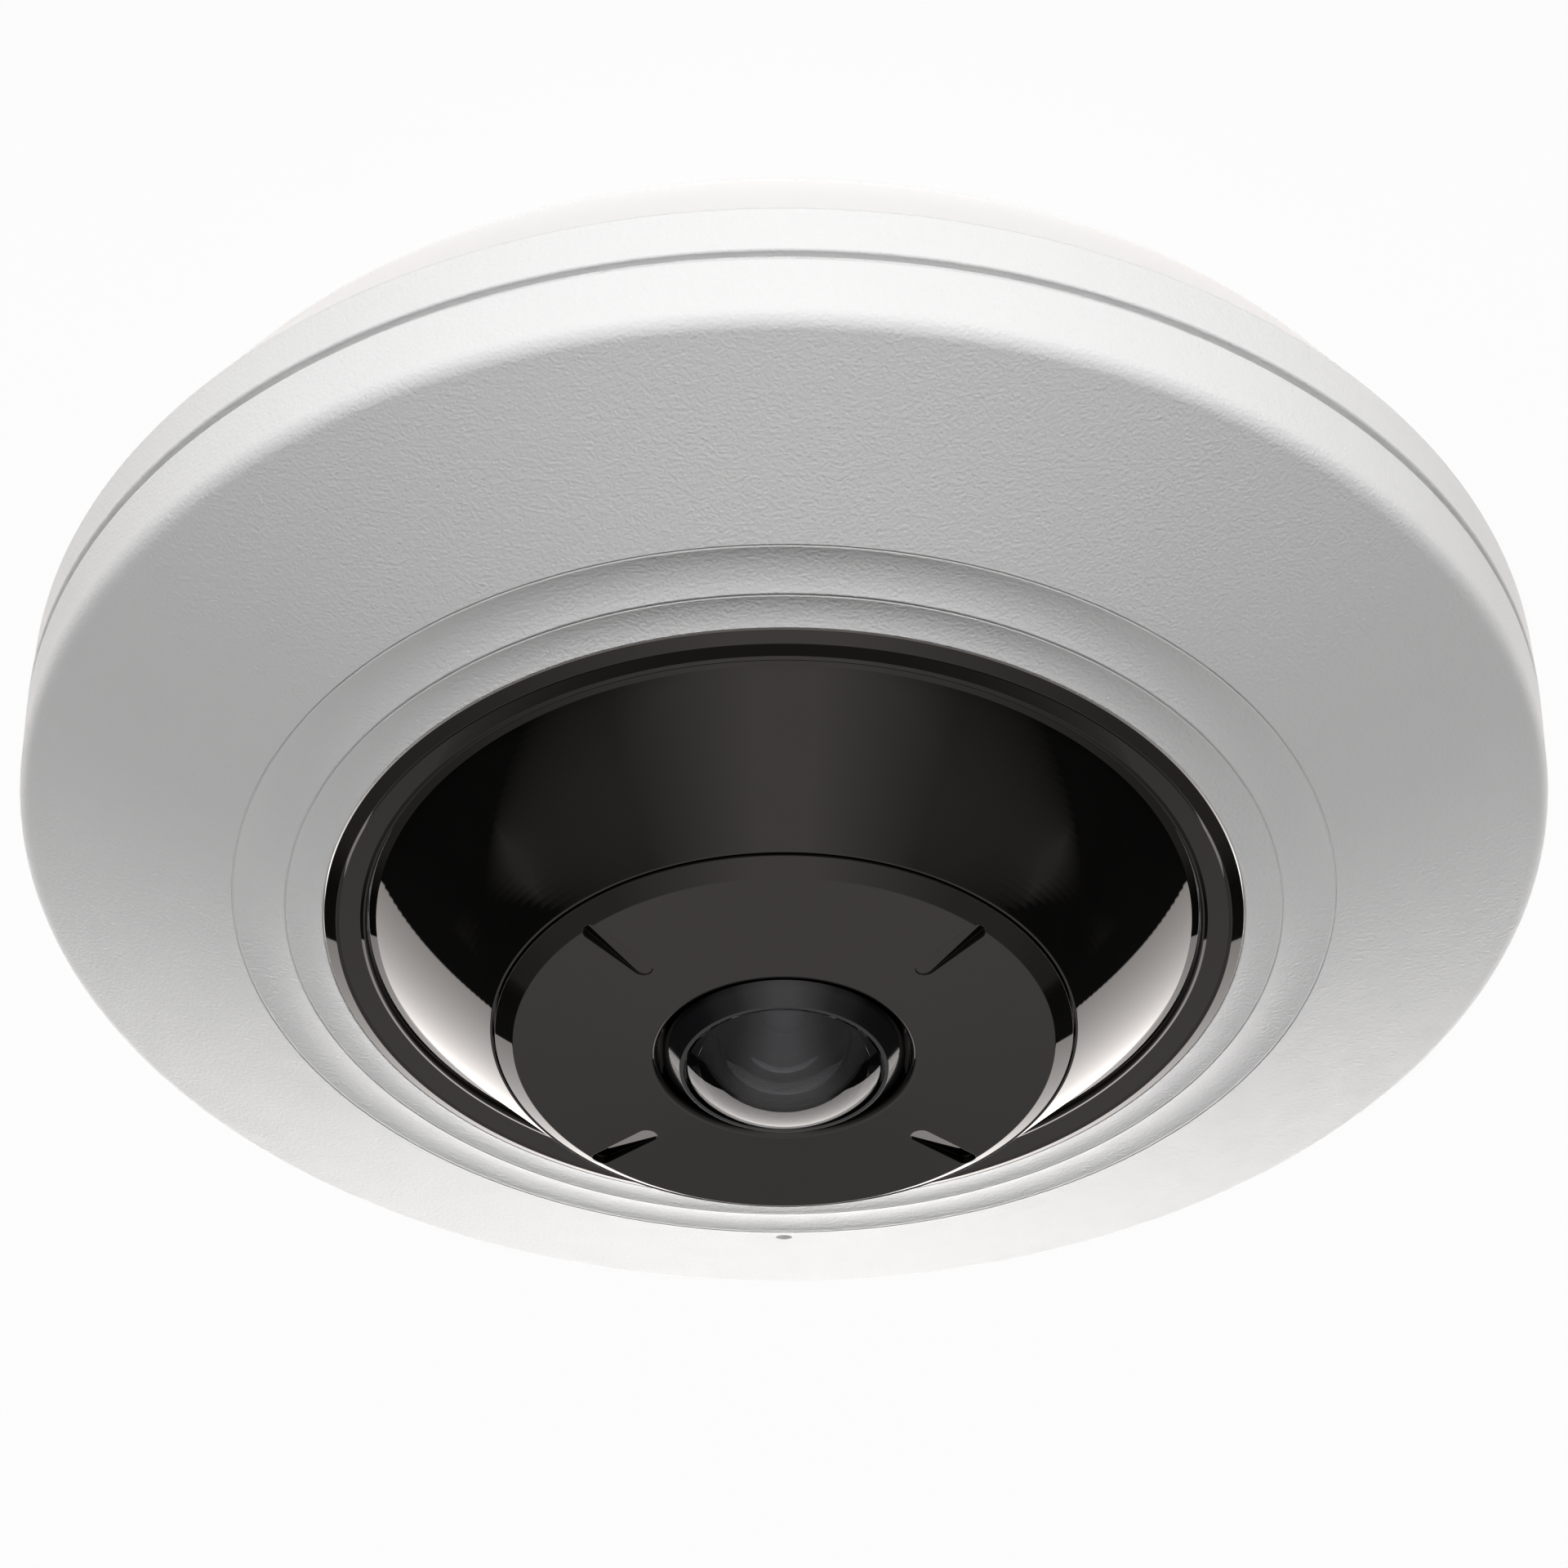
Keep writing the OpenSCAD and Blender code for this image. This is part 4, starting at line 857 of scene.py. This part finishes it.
class FISHEYE_OT_dome_ring(bpy.types.Operator):
    """Turn the black ring round the window, with its crest, its sloping face and its fine bead"""
    bl_idname = "fisheye.dome_ring"
    bl_label = "Dome ring"

    def execute(self, context):
        size = settings("dome")
        outer, mouth = HIGH["dome_ring"].x, HIGH["front_cover"].z
        rise = HIGH["dome_ring"].z - mouth
        rows = RING_ROWS * (-size.ring_width, rise, rise) + (outer, mouth, 0)
        seat = LOW["dome_ring"].z
        inner = outer - size.ring_width
        rows = np.vstack([[(inner, seat, 0), (outer, seat, 0)], rows])
        ring = lathe("dome_ring_turned", rounded(rows))
        ring.visible_glossy = False
        finish(ring, "black_gloss", "dome_ring")
        return {"FINISHED"}


class FISHEYE_OT_ir_window(bpy.types.Operator):
    """Turn the conical infrared window with its foot, its flange and the cap's seat"""
    bl_idname = "fisheye.ir_window"
    bl_label = "Infrared window"

    def execute(self, context):
        size = settings("dome")
        flange, low, top = HIGH["ir_window"].x, LOW["ir_window"].z, HIGH["ir_window"].z
        mouth, rising = HIGH["front_cover"].z, size.edge_round
        foot = HIGH["dome_ring"].x - size.ring_width - size.groove
        cone = foot - size.foot_step
        tip = cone - size.window_draw
        lean = (top - mouth) / size.window_draw
        inner_cone = cone - size.window_wall * math.sqrt(1 + 1 / lean ** 2)
        inner_foot = foot - size.window_wall
        lip = tip - size.lip_width
        seat = top - size.seat_depth
        under = seat - size.seat_width
        wall = bowed((cone, mouth), (tip, top), size.window_bow)
        rows = np.vstack([
            [(inner_foot, low, 0), (flange, low, rising), (flange, low + size.flange, rising),
             (foot, low + size.flange, rising), (foot, mouth - size.foot_drop, rising / 2),
             (cone, mouth, rising)],
            plain(wall[1:-1]),
            [(tip, top, rising / 2), (lip, top, rising / 2), (lip, seat, rising),
             (lip - size.seat_width, seat, rising), (lip - size.seat_width, under, 0),
             (inner_cone - (under - mouth) / lean, under, 0),
             (inner_foot, mouth + (inner_cone - inner_foot) * lean, rising)],
        ])
        finish(lathe("ir_window_turned", rounded(rows)), "infrared_window", "ir_window")
        return {"FINISHED"}


# A drain groove's floor stays FLOOR_MARGIN edge roundings under the cap, whose face is rounded
# FACE_ROUNDING times as much as its other edges.
FLOOR_MARGIN = 1.05
FACE_ROUNDING = 3


def drain_cutters(surface, size, turns=48, bends=5):
    """Four closed cutters, one for each drain groove, as rings of a stadium at rising levels.

    A ring runs round the two end centres at the distance width / 2 plus its reach. The lower rings follow
    the groove's floor, a plane that falls with the radius, up a fillet. The upper ones follow the cap's own
    surface, read off its outline, up a rounded edge. Both roundings are quarter circles. The last two rings
    stand clear of the cap.
    """
    half, edge, fillet = size.drain_width / 2, size.drain_round, size.drain_fillet
    near, far = size.drain_start + half, size.drain_end - half
    turn = np.linspace(-math.pi / 2, 1.5 * math.pi, 2 * turns, endpoint=False) + math.pi / (2 * turns)
    centre = np.where(np.cos(turn) > 0, far, near)
    bend = np.linspace(0, math.pi / 2, bends)
    low_reach, low_rise = fillet * (np.sin(bend) - 1), fillet * (1 - np.cos(bend))
    top_reach, top_rise = edge * (1 - np.cos(bend)), edge * (np.sin(bend) - 1)
    reach = np.concatenate([low_reach, top_reach, [2 * edge, 2 * edge]])
    at = surface[np.argsort(surface[:, 0])]
    start_height, near_height = np.interp([size.drain_start, near], at[:, 0], at[:, 1])
    fall = (start_height - near_height) / half
    slope = math.tan(math.atan(fall) + size.drain_lean)
    x = centre + np.outer(half + reach, np.cos(turn))
    y = np.outer(half + reach, np.sin(turn))
    z = np.interp(np.hypot(x, y), at[:, 0], at[:, 1])
    floor = start_height - size.drain_depth - (x[:bends] - size.drain_start) * slope + low_rise[:, None]
    z[:bends] = np.minimum(floor, z[:bends] - FLOOR_MARGIN * edge)
    z[bends:2 * bends] += top_rise[:, None]
    z[2 * bends] += edge
    z[-1] = at[:, 1].max() + size.cap_wall
    n = len(turn)
    quarter = np.radians([45, 135, 225, 315])[:, None, None]
    points = np.stack([x * np.cos(quarter) - y * np.sin(quarter), x * np.sin(quarter) + y * np.cos(quarter),
                       np.broadcast_to(z, (4, *z.shape))], -1).reshape(-1, 3)
    rings = len(reach)
    i, j = np.arange(rings - 1)[:, None], np.arange(n)
    beside = (j + 1) % n
    wall = np.stack([i * n + j, i * n + beside, (i + 1) * n + beside, (i + 1) * n + j], -1).reshape(-1, 4)
    base = np.arange(4) * rings * n
    faces = (base[:, None, None] + wall).reshape(-1, 4).tolist()
    faces += (base[:, None] + j[::-1]).tolist() + (base[:, None] + (rings - 1) * n + j).tolist()
    return mesh_object("drain_cutters", points, faces)


class FISHEYE_OT_front_cap(bpy.types.Operator):
    """Turn the black front cap and mill its four drain grooves"""
    bl_idname = "fisheye.front_cap"
    bl_label = "Front cap"

    def execute(self, context):
        size = settings("dome")
        edge, top = HIGH["front_cap"].x, HIGH["front_cap"].z
        seat = HIGH["ir_window"].z - size.seat_depth
        edge_height = HIGH["ir_window"].z + size.cap_edge_rise
        face = edge - size.cap_chamfer
        face_height = edge_height + size.cap_chamfer_rise
        recess = size.recess_radius
        crown = recess + size.recess_round
        fall = size.cap_crown / (face - crown)
        shelf, collar = LOW["lens_bezel"].z, LOW["front_cap"].z
        skirt = edge - size.cap_skirt
        collar_in, collar_out = size.collar_bore, size.collar_edge

        def height(radius):
            return face_height + (face - radius) * fall

        rising = size.edge_round
        surface = np.array([(edge, edge_height, rising), (face, face_height, FACE_ROUNDING * rising),
                            (recess, height(recess), size.recess_round)])
        rows = np.vstack([
            [(skirt, seat, 0), (edge, seat, rising)], surface,
            [(recess, shelf, 0), (collar_in, shelf, 0), (collar_in, collar, 0), (collar_out, collar, 0),
             (collar_out, height(collar_out) - size.cap_wall, 0), (skirt, height(skirt) - size.cap_wall, 0)],
        ])
        cap = lathe("front_cap_turned", rounded(rows, steps=12))
        surface[-1, :2] = crown, top
        combine(cap, drain_cutters(surface[:, :2], size), "DIFFERENCE")
        shade(cap, sharp=10)
        finish(cap, "black_gloss", "front_cap")
        return {"FINISHED"}


# Lens. PLAY is how far a bore stands off the glass in it, and LIP_STEP how far the barrel's lip stands off
# the rear glass's bulge. HOLLOW_MARGIN tells the faces of the front glass's hollow from its others. BLADE
# is half the thickness of the aperture's edge, and its bevels start at BEVEL radii of its hole.

PLAY = 0.02 * MM
LIP_STEP = 0.1 * MM
HOLLOW_MARGIN = 0.01 * MM
BLADE = 0.05 * MM
BEVEL = 2


class FISHEYE_OT_lens_ring(bpy.types.Operator):
    """Turn the lens ring that holds the front glass"""
    bl_idname = "fisheye.lens_ring"
    bl_label = "Lens ring"

    def execute(self, context):
        size = settings("lens")
        low, outer, top = LOW["lens_bezel"].z, HIGH["lens_bezel"].x, HIGH["lens_bezel"].z
        lip = size.glass_radius + size.glass_gap
        bore, lip_low = HIGH["lens_front"].x + PLAY, LOW["lens_front"].z + size.glass_flange
        rising = size.edge_round
        rows = [
            (bore, low, 0), (outer, low, rising), (outer, top - size.ring_cone, rising),
            (lip + size.ring_rim, top, rising), (lip, top, rising), (lip, lip_low, 0), (bore, lip_low, 0),
        ]
        finish(lathe("lens_ring_turned", rounded(rows, steps=8)), "black_metal", "lens_bezel")
        return {"FINISHED"}


def meniscus(edge, edge_height, bulge, centre, hollow, seat, flange):
    """Outline of a glass with a bulging front and a hollow back, both arcs of circles centred on the axis.

    The flange's rows stand between the two arcs.
    """
    radius = sphere_radius(edge, bulge)
    front = edge_height + bulge - radius
    back = edge_height + bulge - centre - hollow
    inner = arc((0, back), hollow, math.pi / 2, math.asin((seat - back) / hollow), steps=40)
    outer = arc((0, front), radius, math.asin((edge_height - front) / radius), math.pi / 2, steps=64)
    inner[0, 0] = outer[-1, 0] = 0
    return np.vstack([plain(inner), flange, plain(outer)])


def coat_hollow(glass, centre, radius):
    """Gives the faces of a glass's hollow, a sphere about that height on the axis, the coated finish."""
    glass.data.materials.append(bpy.data.materials["coated_glass"])
    middles = np.empty(3 * len(glass.data.polygons))
    glass.data.polygons.foreach_get("center", middles)
    inside = np.linalg.norm(middles.reshape(-1, 3) - (0, 0, centre), axis=1) < radius + HOLLOW_MARGIN
    glass.data.polygons.foreach_set("material_index", inside.astype(np.int32))


class FISHEYE_OT_glasses(bpy.types.Operator):
    """Turn the front, middle and rear glasses"""
    bl_idname = "fisheye.glasses"
    bl_label = "Glasses"

    def execute(self, context):
        size = settings("lens")
        seat, flange = LOW["lens_front"].z, HIGH["lens_front"].x
        edge_height = HIGH["lens_bezel"].z - size.glass_drop
        lip, fine = seat + size.glass_flange, size.fine_round
        rows = meniscus(size.glass_radius, edge_height, HIGH["lens_front"].z - edge_height, size.glass_centre,
                        size.glass_hollow, seat,
                        [(flange, seat, fine), (flange, lip, fine), (size.glass_radius, lip, 0)])
        glass = lathe("front_glass", rounded(rows))
        finish(glass, "lens_glass", "lens_front")
        coat_hollow(glass, HIGH["lens_front"].z - size.glass_centre - size.glass_hollow, size.glass_hollow)
        edge, seat = HIGH["lens_middle"].x, LOW["lens_middle"].z
        edge_height = seat + size.middle_edge
        rows = meniscus(edge, edge_height, HIGH["lens_middle"].z - edge_height, size.middle_centre,
                        size.middle_hollow, seat, [(edge, seat, fine)])
        finish(lathe("middle_glass", rounded(rows)), "lens_glass", "lens_middle", material="inner_glass")
        edge, top = HIGH["lens_rear"].x, HIGH["lens_rear"].z
        seat = LOW["lens_rear"].z + size.rear_bulge
        radius = sphere_radius(size.rear_bulge_radius, size.rear_bulge)
        bulge = arc((0, seat - size.rear_bulge + radius), radius, -math.pi / 2,
                    math.asin(size.rear_bulge_radius / radius) - math.pi / 2, steps=24)
        bulge[0, 0] = 0
        rows = np.vstack([plain(bulge), [(edge, seat, fine), (edge, top, fine), (0, top, 0)]])
        finish(lathe("rear_glass", rounded(rows)), "lens_glass", "lens_rear", material="inner_glass")
        return {"FINISHED"}


class FISHEYE_OT_barrel(bpy.types.Operator):
    """Turn the lens barrel with its thread and its baffle rings, and the aperture stop"""
    bl_idname = "fisheye.barrel"
    bl_label = "Barrel and stop"

    def execute(self, context):
        size = settings("lens")
        low, top, head = LOW["lens_barrel"].z, HIGH["lens_barrel"].z, HIGH["lens_barrel"].x
        bore, cell = HIGH["lens_middle"].x + PLAY, HIGH["lens_rear"].x + PLAY
        seat, lip_top = LOW["lens_middle"].z, LOW["lens_rear"].z + size.rear_bulge
        lip = size.rear_bulge_radius + LIP_STEP
        clear = top - PLAY
        thread, thread_top = size.thread_radius, top - size.head_height
        rows = np.vstack([
            [(lip, low)], ringed((thread, low), (thread, thread_top), size.thread_pitch, size.thread_depth),
            [(head, thread_top), (head, clear)],
            ringed((bore, clear), (bore, seat), size.baffle_pitch, size.baffle_depth),
            [(cell, seat), (cell, lip_top), (lip, lip_top)],
        ])
        finish(lathe("barrel_turned", rows), "black_metal", "lens_barrel", material="lens_black")
        stop_low, stop_top, edge = LOW["aperture_stop"].z, HIGH["aperture_stop"].z, HIGH["aperture_stop"].x
        middle, hole = (stop_low + stop_top) / 2, size.stop_radius
        rows = [
            (edge, stop_low), (edge, stop_top), (BEVEL * hole, stop_top), (hole, middle + BLADE),
            (hole, middle - BLADE), (BEVEL * hole, stop_low),
        ]
        finish(lathe("stop_turned", rows), "black_metal", "aperture_stop", material="lens_black")
        return {"FINISHED"}


# Studio

FLOOR_RADIUS = 3.2
FLOOR_POINTS = 128
FLOOR_DROP = 0.05 * MM
FLOOR_TONE = 0.8

# How much of the floor is shown as plain white, and its strength in mirrors, near and far, with the
# distances from the axis where it changes.
FLOOR_WHITE = 0.96
NEAR_GLOW = 1.1
FLOOR_GLOW = 2.1
GLOW_SPAN = 0.06, 0.11

# How far the glowing card (a painted reflection) lies under the dome's opening and under the coves, how far
# its lip stands out from the opening, how far its rim stands in from the side, and how far it reaches down.
CARD_LIP_DEPTH = 0.6 * MM
CARD_DEPTH = 0.45 * MM
CARD_LIP = 0.18 * MM
CARD_RIM = 1 * MM
CARD_BASE = 12 * MM

# The tent, for a unit direction (x, y, z). The panel's edge is z = top - (slope + curve b) b with b = y, or
# LEVEL where y is less. The other values are spans: from, to and, where there are four, the values at both.
TENT_RADIUS = 4.0
PANEL_TOP, PANEL_SLOPE, PANEL_CURVE, PANEL_LEVEL = 0.415, 0.32, 0.38, -0.384
PANEL_SOFTNESS = -0.5, 0.05, 0.15, 0.01
CORNER_Y, CORNER_Z, CORNER_SIDE = (0.56, 0.52), (0.38, 0.5), (0.45, 0.35)
PANEL_NEAR = 0.62, 0.12, 0.33, 1.02
PANEL_FAR = 0.38, 0.77, 0.3, 0.84
PANEL_FAR_SIDE = 0.3, 0.6, 1.0, 0.4
PANEL_CHANGE = 0.0, 0.4
ROOM_GLOW = 0.02
BACKDROP_TOP = 0.49, 0.7, 0.375, 0.0
BACKDROP_EDGE = 0.004, -0.004
BACKDROP_START = 0.5, 0.51

# Each lamp's name, place, width and height in metres.
LAMPS = (("back_light", (0, 1.5, 0.36), 2.26, 0.43), ("front_light", (0, -1.5, 0.2), 2.0, 0.5))

# The camera's sensor width in millimetres and its clipping distances in metres.
SENSOR_WIDTH = 36.0
CLIP = 0.01, 100.0


class FISHEYE_OT_studio(bpy.types.Operator):
    """Set up the floor, the reflected tent, the soft lights and the camera"""
    bl_idname = "fisheye.studio"
    bl_label = "Studio"

    def execute(self, context):
        self.floor()
        self.card()
        self.tent()
        self.world()
        self.lamps()
        self.camera()
        context.scene.view_settings.view_transform = "Standard"
        return {"FINISHED"}

    def glow(self, s, strength):
        """A light of the mirrored tint."""
        tint = (*settings("studio").mirrored, 1.0)
        return s.node("Emission", {"Color": tint, "Strength": strength}).outputs[0]

    def card(self):
        """A card just under the cover's surface that glows and that only mirrors see: a painted reflection.

        The cover, which they leave out, and the unlit space behind it would darken them at the dome's foot;
        the card's glow paints a bright reflection there instead.
        """
        size = settings("cover")
        s = Finish("card")
        s.nodes.remove(s.shader)
        s.links.new(self.glow(s, FLOOR_GLOW), s.output.inputs[0])
        (crease, height), (inner_crease, inner_height), (opening, mouth) = cover_creases(size)
        inside, rim = opening - size.inner_cove_width, HIGH["front_cover"].x - CARD_RIM
        outline = [
            (inside, mouth - CARD_LIP_DEPTH), (opening + CARD_LIP, mouth - CARD_LIP_DEPTH),
            (inner_crease, inner_height - CARD_DEPTH), (crease, height - CARD_DEPTH),
            (rim, height - size.face_drop), (rim, mouth - CARD_BASE), (inside, mouth - 2 * CARD_LIP_DEPTH),
        ]
        # The card glows as bright as the floor does in mirrors: a painted bright reflection at the dome's
        # foot.
        obj = lathe("card", outline)
        obj.data.materials.append(s.material)
        obj.visible_camera = obj.visible_diffuse = obj.visible_transmission = obj.visible_shadow = False

    def floor(self):
        """A pale floor, white to the camera but for the object's shadow, and brighter far out in mirrors."""
        s = Finish("floor")
        s.nodes.remove(s.shader)
        path = s.node("LightPath", {}).outputs
        mirror = s.math("MAXIMUM", path["Is Glossy Ray"], path["Is Transmission Ray"])
        distance = s.node("VectorMath", {0: s.place}, operation="LENGTH").outputs["Value"]
        pale = s.node("BsdfDiffuse", {"Color": (FLOOR_TONE, FLOOR_TONE, FLOOR_TONE, 1.0)}).outputs[0]
        white = s.node("Emission", {"Strength": 1.0}).outputs[0]
        glow = self.glow(s, s.span(distance, *GLOW_SPAN, NEAR_GLOW, FLOOR_GLOW))
        clean = s.math("MULTIPLY", path["Is Camera Ray"], FLOOR_WHITE)
        seen = s.node("MixShader", {0: clean, 1: pale, 2: white}).outputs[0]
        shown = s.node("MixShader", {0: mirror, 1: seen, 2: glow}).outputs[0]
        s.links.new(shown, s.output.inputs[0])
        level = np.full(FLOOR_POINTS, CAD_BOX[0][2] - FLOOR_DROP)
        turn = np.linspace(0, 2 * math.pi, FLOOR_POINTS, endpoint=False)
        points = np.stack([FLOOR_RADIUS * np.cos(turn), FLOOR_RADIUS * np.sin(turn), level], 1)
        obj = mesh_object("floor", points, [list(range(FLOOR_POINTS))])
        obj.data.materials.append(s.material)

    def tent(self):
        """What polished surfaces mirror: a dark room with a wide soft panel overhead and a bright backdrop.

        The panel is the softer at its edge the nearer it is, and fades at its far corners. It brightens
        towards the middle, x = 0, on the near side and towards the zenith on the far one. The backdrop
        stands on the far side, as bright as the floor, and its top falls to the floor at both sides.
        """
        s = Finish("tent")
        s.nodes.remove(s.shader)
        way = s.node("VectorMath", {0: s.place}, operation="NORMALIZE").outputs[0]
        x, y, z = s.node("SeparateXYZ", {0: way}).outputs
        side = s.math("ABSOLUTE", x)
        bend = s.math("MAXIMUM", y, PANEL_LEVEL)
        fall = s.math("MULTIPLY", bend, s.math("ADD", PANEL_SLOPE, s.math("MULTIPLY", bend, PANEL_CURVE)))
        above = s.math("SUBTRACT", z, s.math("SUBTRACT", PANEL_TOP, fall))
        shown = s.span(s.math("DIVIDE", above, s.span(y, *PANEL_SOFTNESS)), 0.0, 1.0)
        corner = s.math("MAXIMUM", s.span(y, *CORNER_Y), s.span(z, *CORNER_Z))
        shown = s.math("MULTIPLY", shown, s.math("MAXIMUM", corner, s.span(side, *CORNER_SIDE)))
        near = s.span(side, *PANEL_NEAR)
        far = s.math("MULTIPLY", s.span(z, *PANEL_FAR), s.span(side, *PANEL_FAR_SIDE))
        panel = s.node("Mix", {0: s.span(y, *PANEL_CHANGE), 2: near, 3: far}).outputs[0]
        panel = s.math("ADD", s.math("MULTIPLY", panel, shown), ROOM_GLOW)
        backdrop = s.span(s.math("SUBTRACT", z, s.span(side, *BACKDROP_TOP)), *BACKDROP_EDGE)
        backdrop = s.math("MULTIPLY", backdrop, s.span(y, *BACKDROP_START, 0.0, FLOOR_GLOW))
        s.links.new(self.glow(s, s.math("MAXIMUM", panel, backdrop)), s.output.inputs[0])
        outline = arc((0, 0), TENT_RADIUS, -math.pi / 2, math.pi / 2, steps=33)
        outline[[0, -1], 0] = 0
        obj = lathe("tent", outline, segments=64)
        obj.data.materials.append(s.material)
        obj.visible_camera = obj.visible_diffuse = obj.visible_shadow = False

    def world(self):
        """White behind everything, and an even weak light on the object."""
        world = bpy.data.worlds.new("studio")
        world.use_nodes = True
        nodes, links = world.node_tree.nodes, world.node_tree.links
        path = nodes.new("ShaderNodeLightPath").outputs
        mirror, shown, level = (nodes.new("ShaderNode" + kind) for kind in ("Math", "Math", "MapRange"))
        mirror.operation = shown.operation = "MAXIMUM"
        links.new(path["Is Glossy Ray"], mirror.inputs[0])
        links.new(path["Is Transmission Ray"], mirror.inputs[1])
        links.new(path["Is Camera Ray"], shown.inputs[0])
        links.new(mirror.outputs[0], shown.inputs[1])
        level.inputs["To Min"].default_value = settings("studio").fill
        links.new(shown.outputs[0], level.inputs["Value"])
        background = next(n for n in nodes if n.type == "BACKGROUND")
        background.inputs["Color"].default_value = (1, 1, 1, 1)
        links.new(level.outputs[0], background.inputs["Strength"])
        bpy.context.scene.world = world

    def lamps(self):
        """Two wide soft lamps that face the object from behind and from in front, left out of mirrors."""
        size = settings("studio")
        for (name, place, width, height), power in zip(LAMPS, (size.back_power, size.front_power)):
            lamp = bpy.data.lights.new(name, "AREA")
            lamp.shape = "RECTANGLE"
            lamp.size, lamp.size_y, lamp.energy = width, height, power
            obj = bpy.data.objects.new(name, lamp)
            turned = (Vector((0, 0, HIGH["front_cover"].z)) - Vector(place)).to_track_quat("-Z", "Y")
            obj.matrix_world = Matrix.Translation(place) @ turned.to_matrix().to_4x4()
            obj.visible_camera = obj.visible_glossy = obj.visible_transmission = False
            bpy.context.scene.collection.objects.link(obj)

    def camera(self):
        """The camera stands on the -Y side, looks down, and has its top turned towards the floor."""
        size = settings("studio")
        lens = bpy.data.cameras.new("camera")
        lens.lens, lens.sensor_width, lens.sensor_fit = size.camera_lens, SENSOR_WIDTH, "HORIZONTAL"
        lens.clip_start, lens.clip_end = CLIP
        down, level = math.sin(size.camera_tilt), math.cos(size.camera_tilt)
        axes = Matrix(((-1, 0, 0), (0, -down, -level), (0, -level, down)))
        obj = bpy.data.objects.new("camera", lens)
        obj.matrix_world = Matrix.Translation((0, -size.camera_back, size.camera_height)) @ axes.to_4x4()
        bpy.context.scene.collection.objects.link(obj)
        bpy.context.scene.camera = obj


OPERATORS = (
    FISHEYE_OT_studio, FISHEYE_OT_finishes, FISHEYE_OT_rear_housing, FISHEYE_OT_front_cover,
    FISHEYE_OT_dome_ring, FISHEYE_OT_ir_window, FISHEYE_OT_front_cap, FISHEYE_OT_lens_ring,
    FISHEYE_OT_glasses, FISHEYE_OT_barrel,
)


class FISHEYE_PT_builder(bpy.types.Panel):
    """Lists the pieces and the sizes"""
    bl_idname = "FISHEYE_PT_builder"
    bl_label = "Fisheye camera"
    bl_space_type = "VIEW_3D"
    bl_region_type = "UI"
    bl_category = "Fisheye"

    def draw(self, context):
        for operator in OPERATORS:
            self.layout.operator(operator.bl_idname)
        for group, kind in GROUPS.items():
            box = self.layout.box()
            box.label(text=kind.__doc__)
            for name in kind.__annotations__:
                box.prop(getattr(context.scene, group), name)


def register():
    for kind in (*GROUPS.values(), *OPERATORS, FISHEYE_PT_builder):
        bpy.utils.register_class(kind)
    for group, kind in GROUPS.items():
        setattr(bpy.types.Scene, group, PointerProperty(type=kind))


def unregister():
    for group in GROUPS:
        delattr(bpy.types.Scene, group)
    for kind in (FISHEYE_PT_builder, *OPERATORS[::-1], *GROUPS.values()):
        bpy.utils.unregister_class(kind)


def main():
    register()
    for operator in OPERATORS:
        getattr(bpy.ops.fisheye, operator.bl_idname.split(".")[1])()


if __name__ == "__main__":
    main()
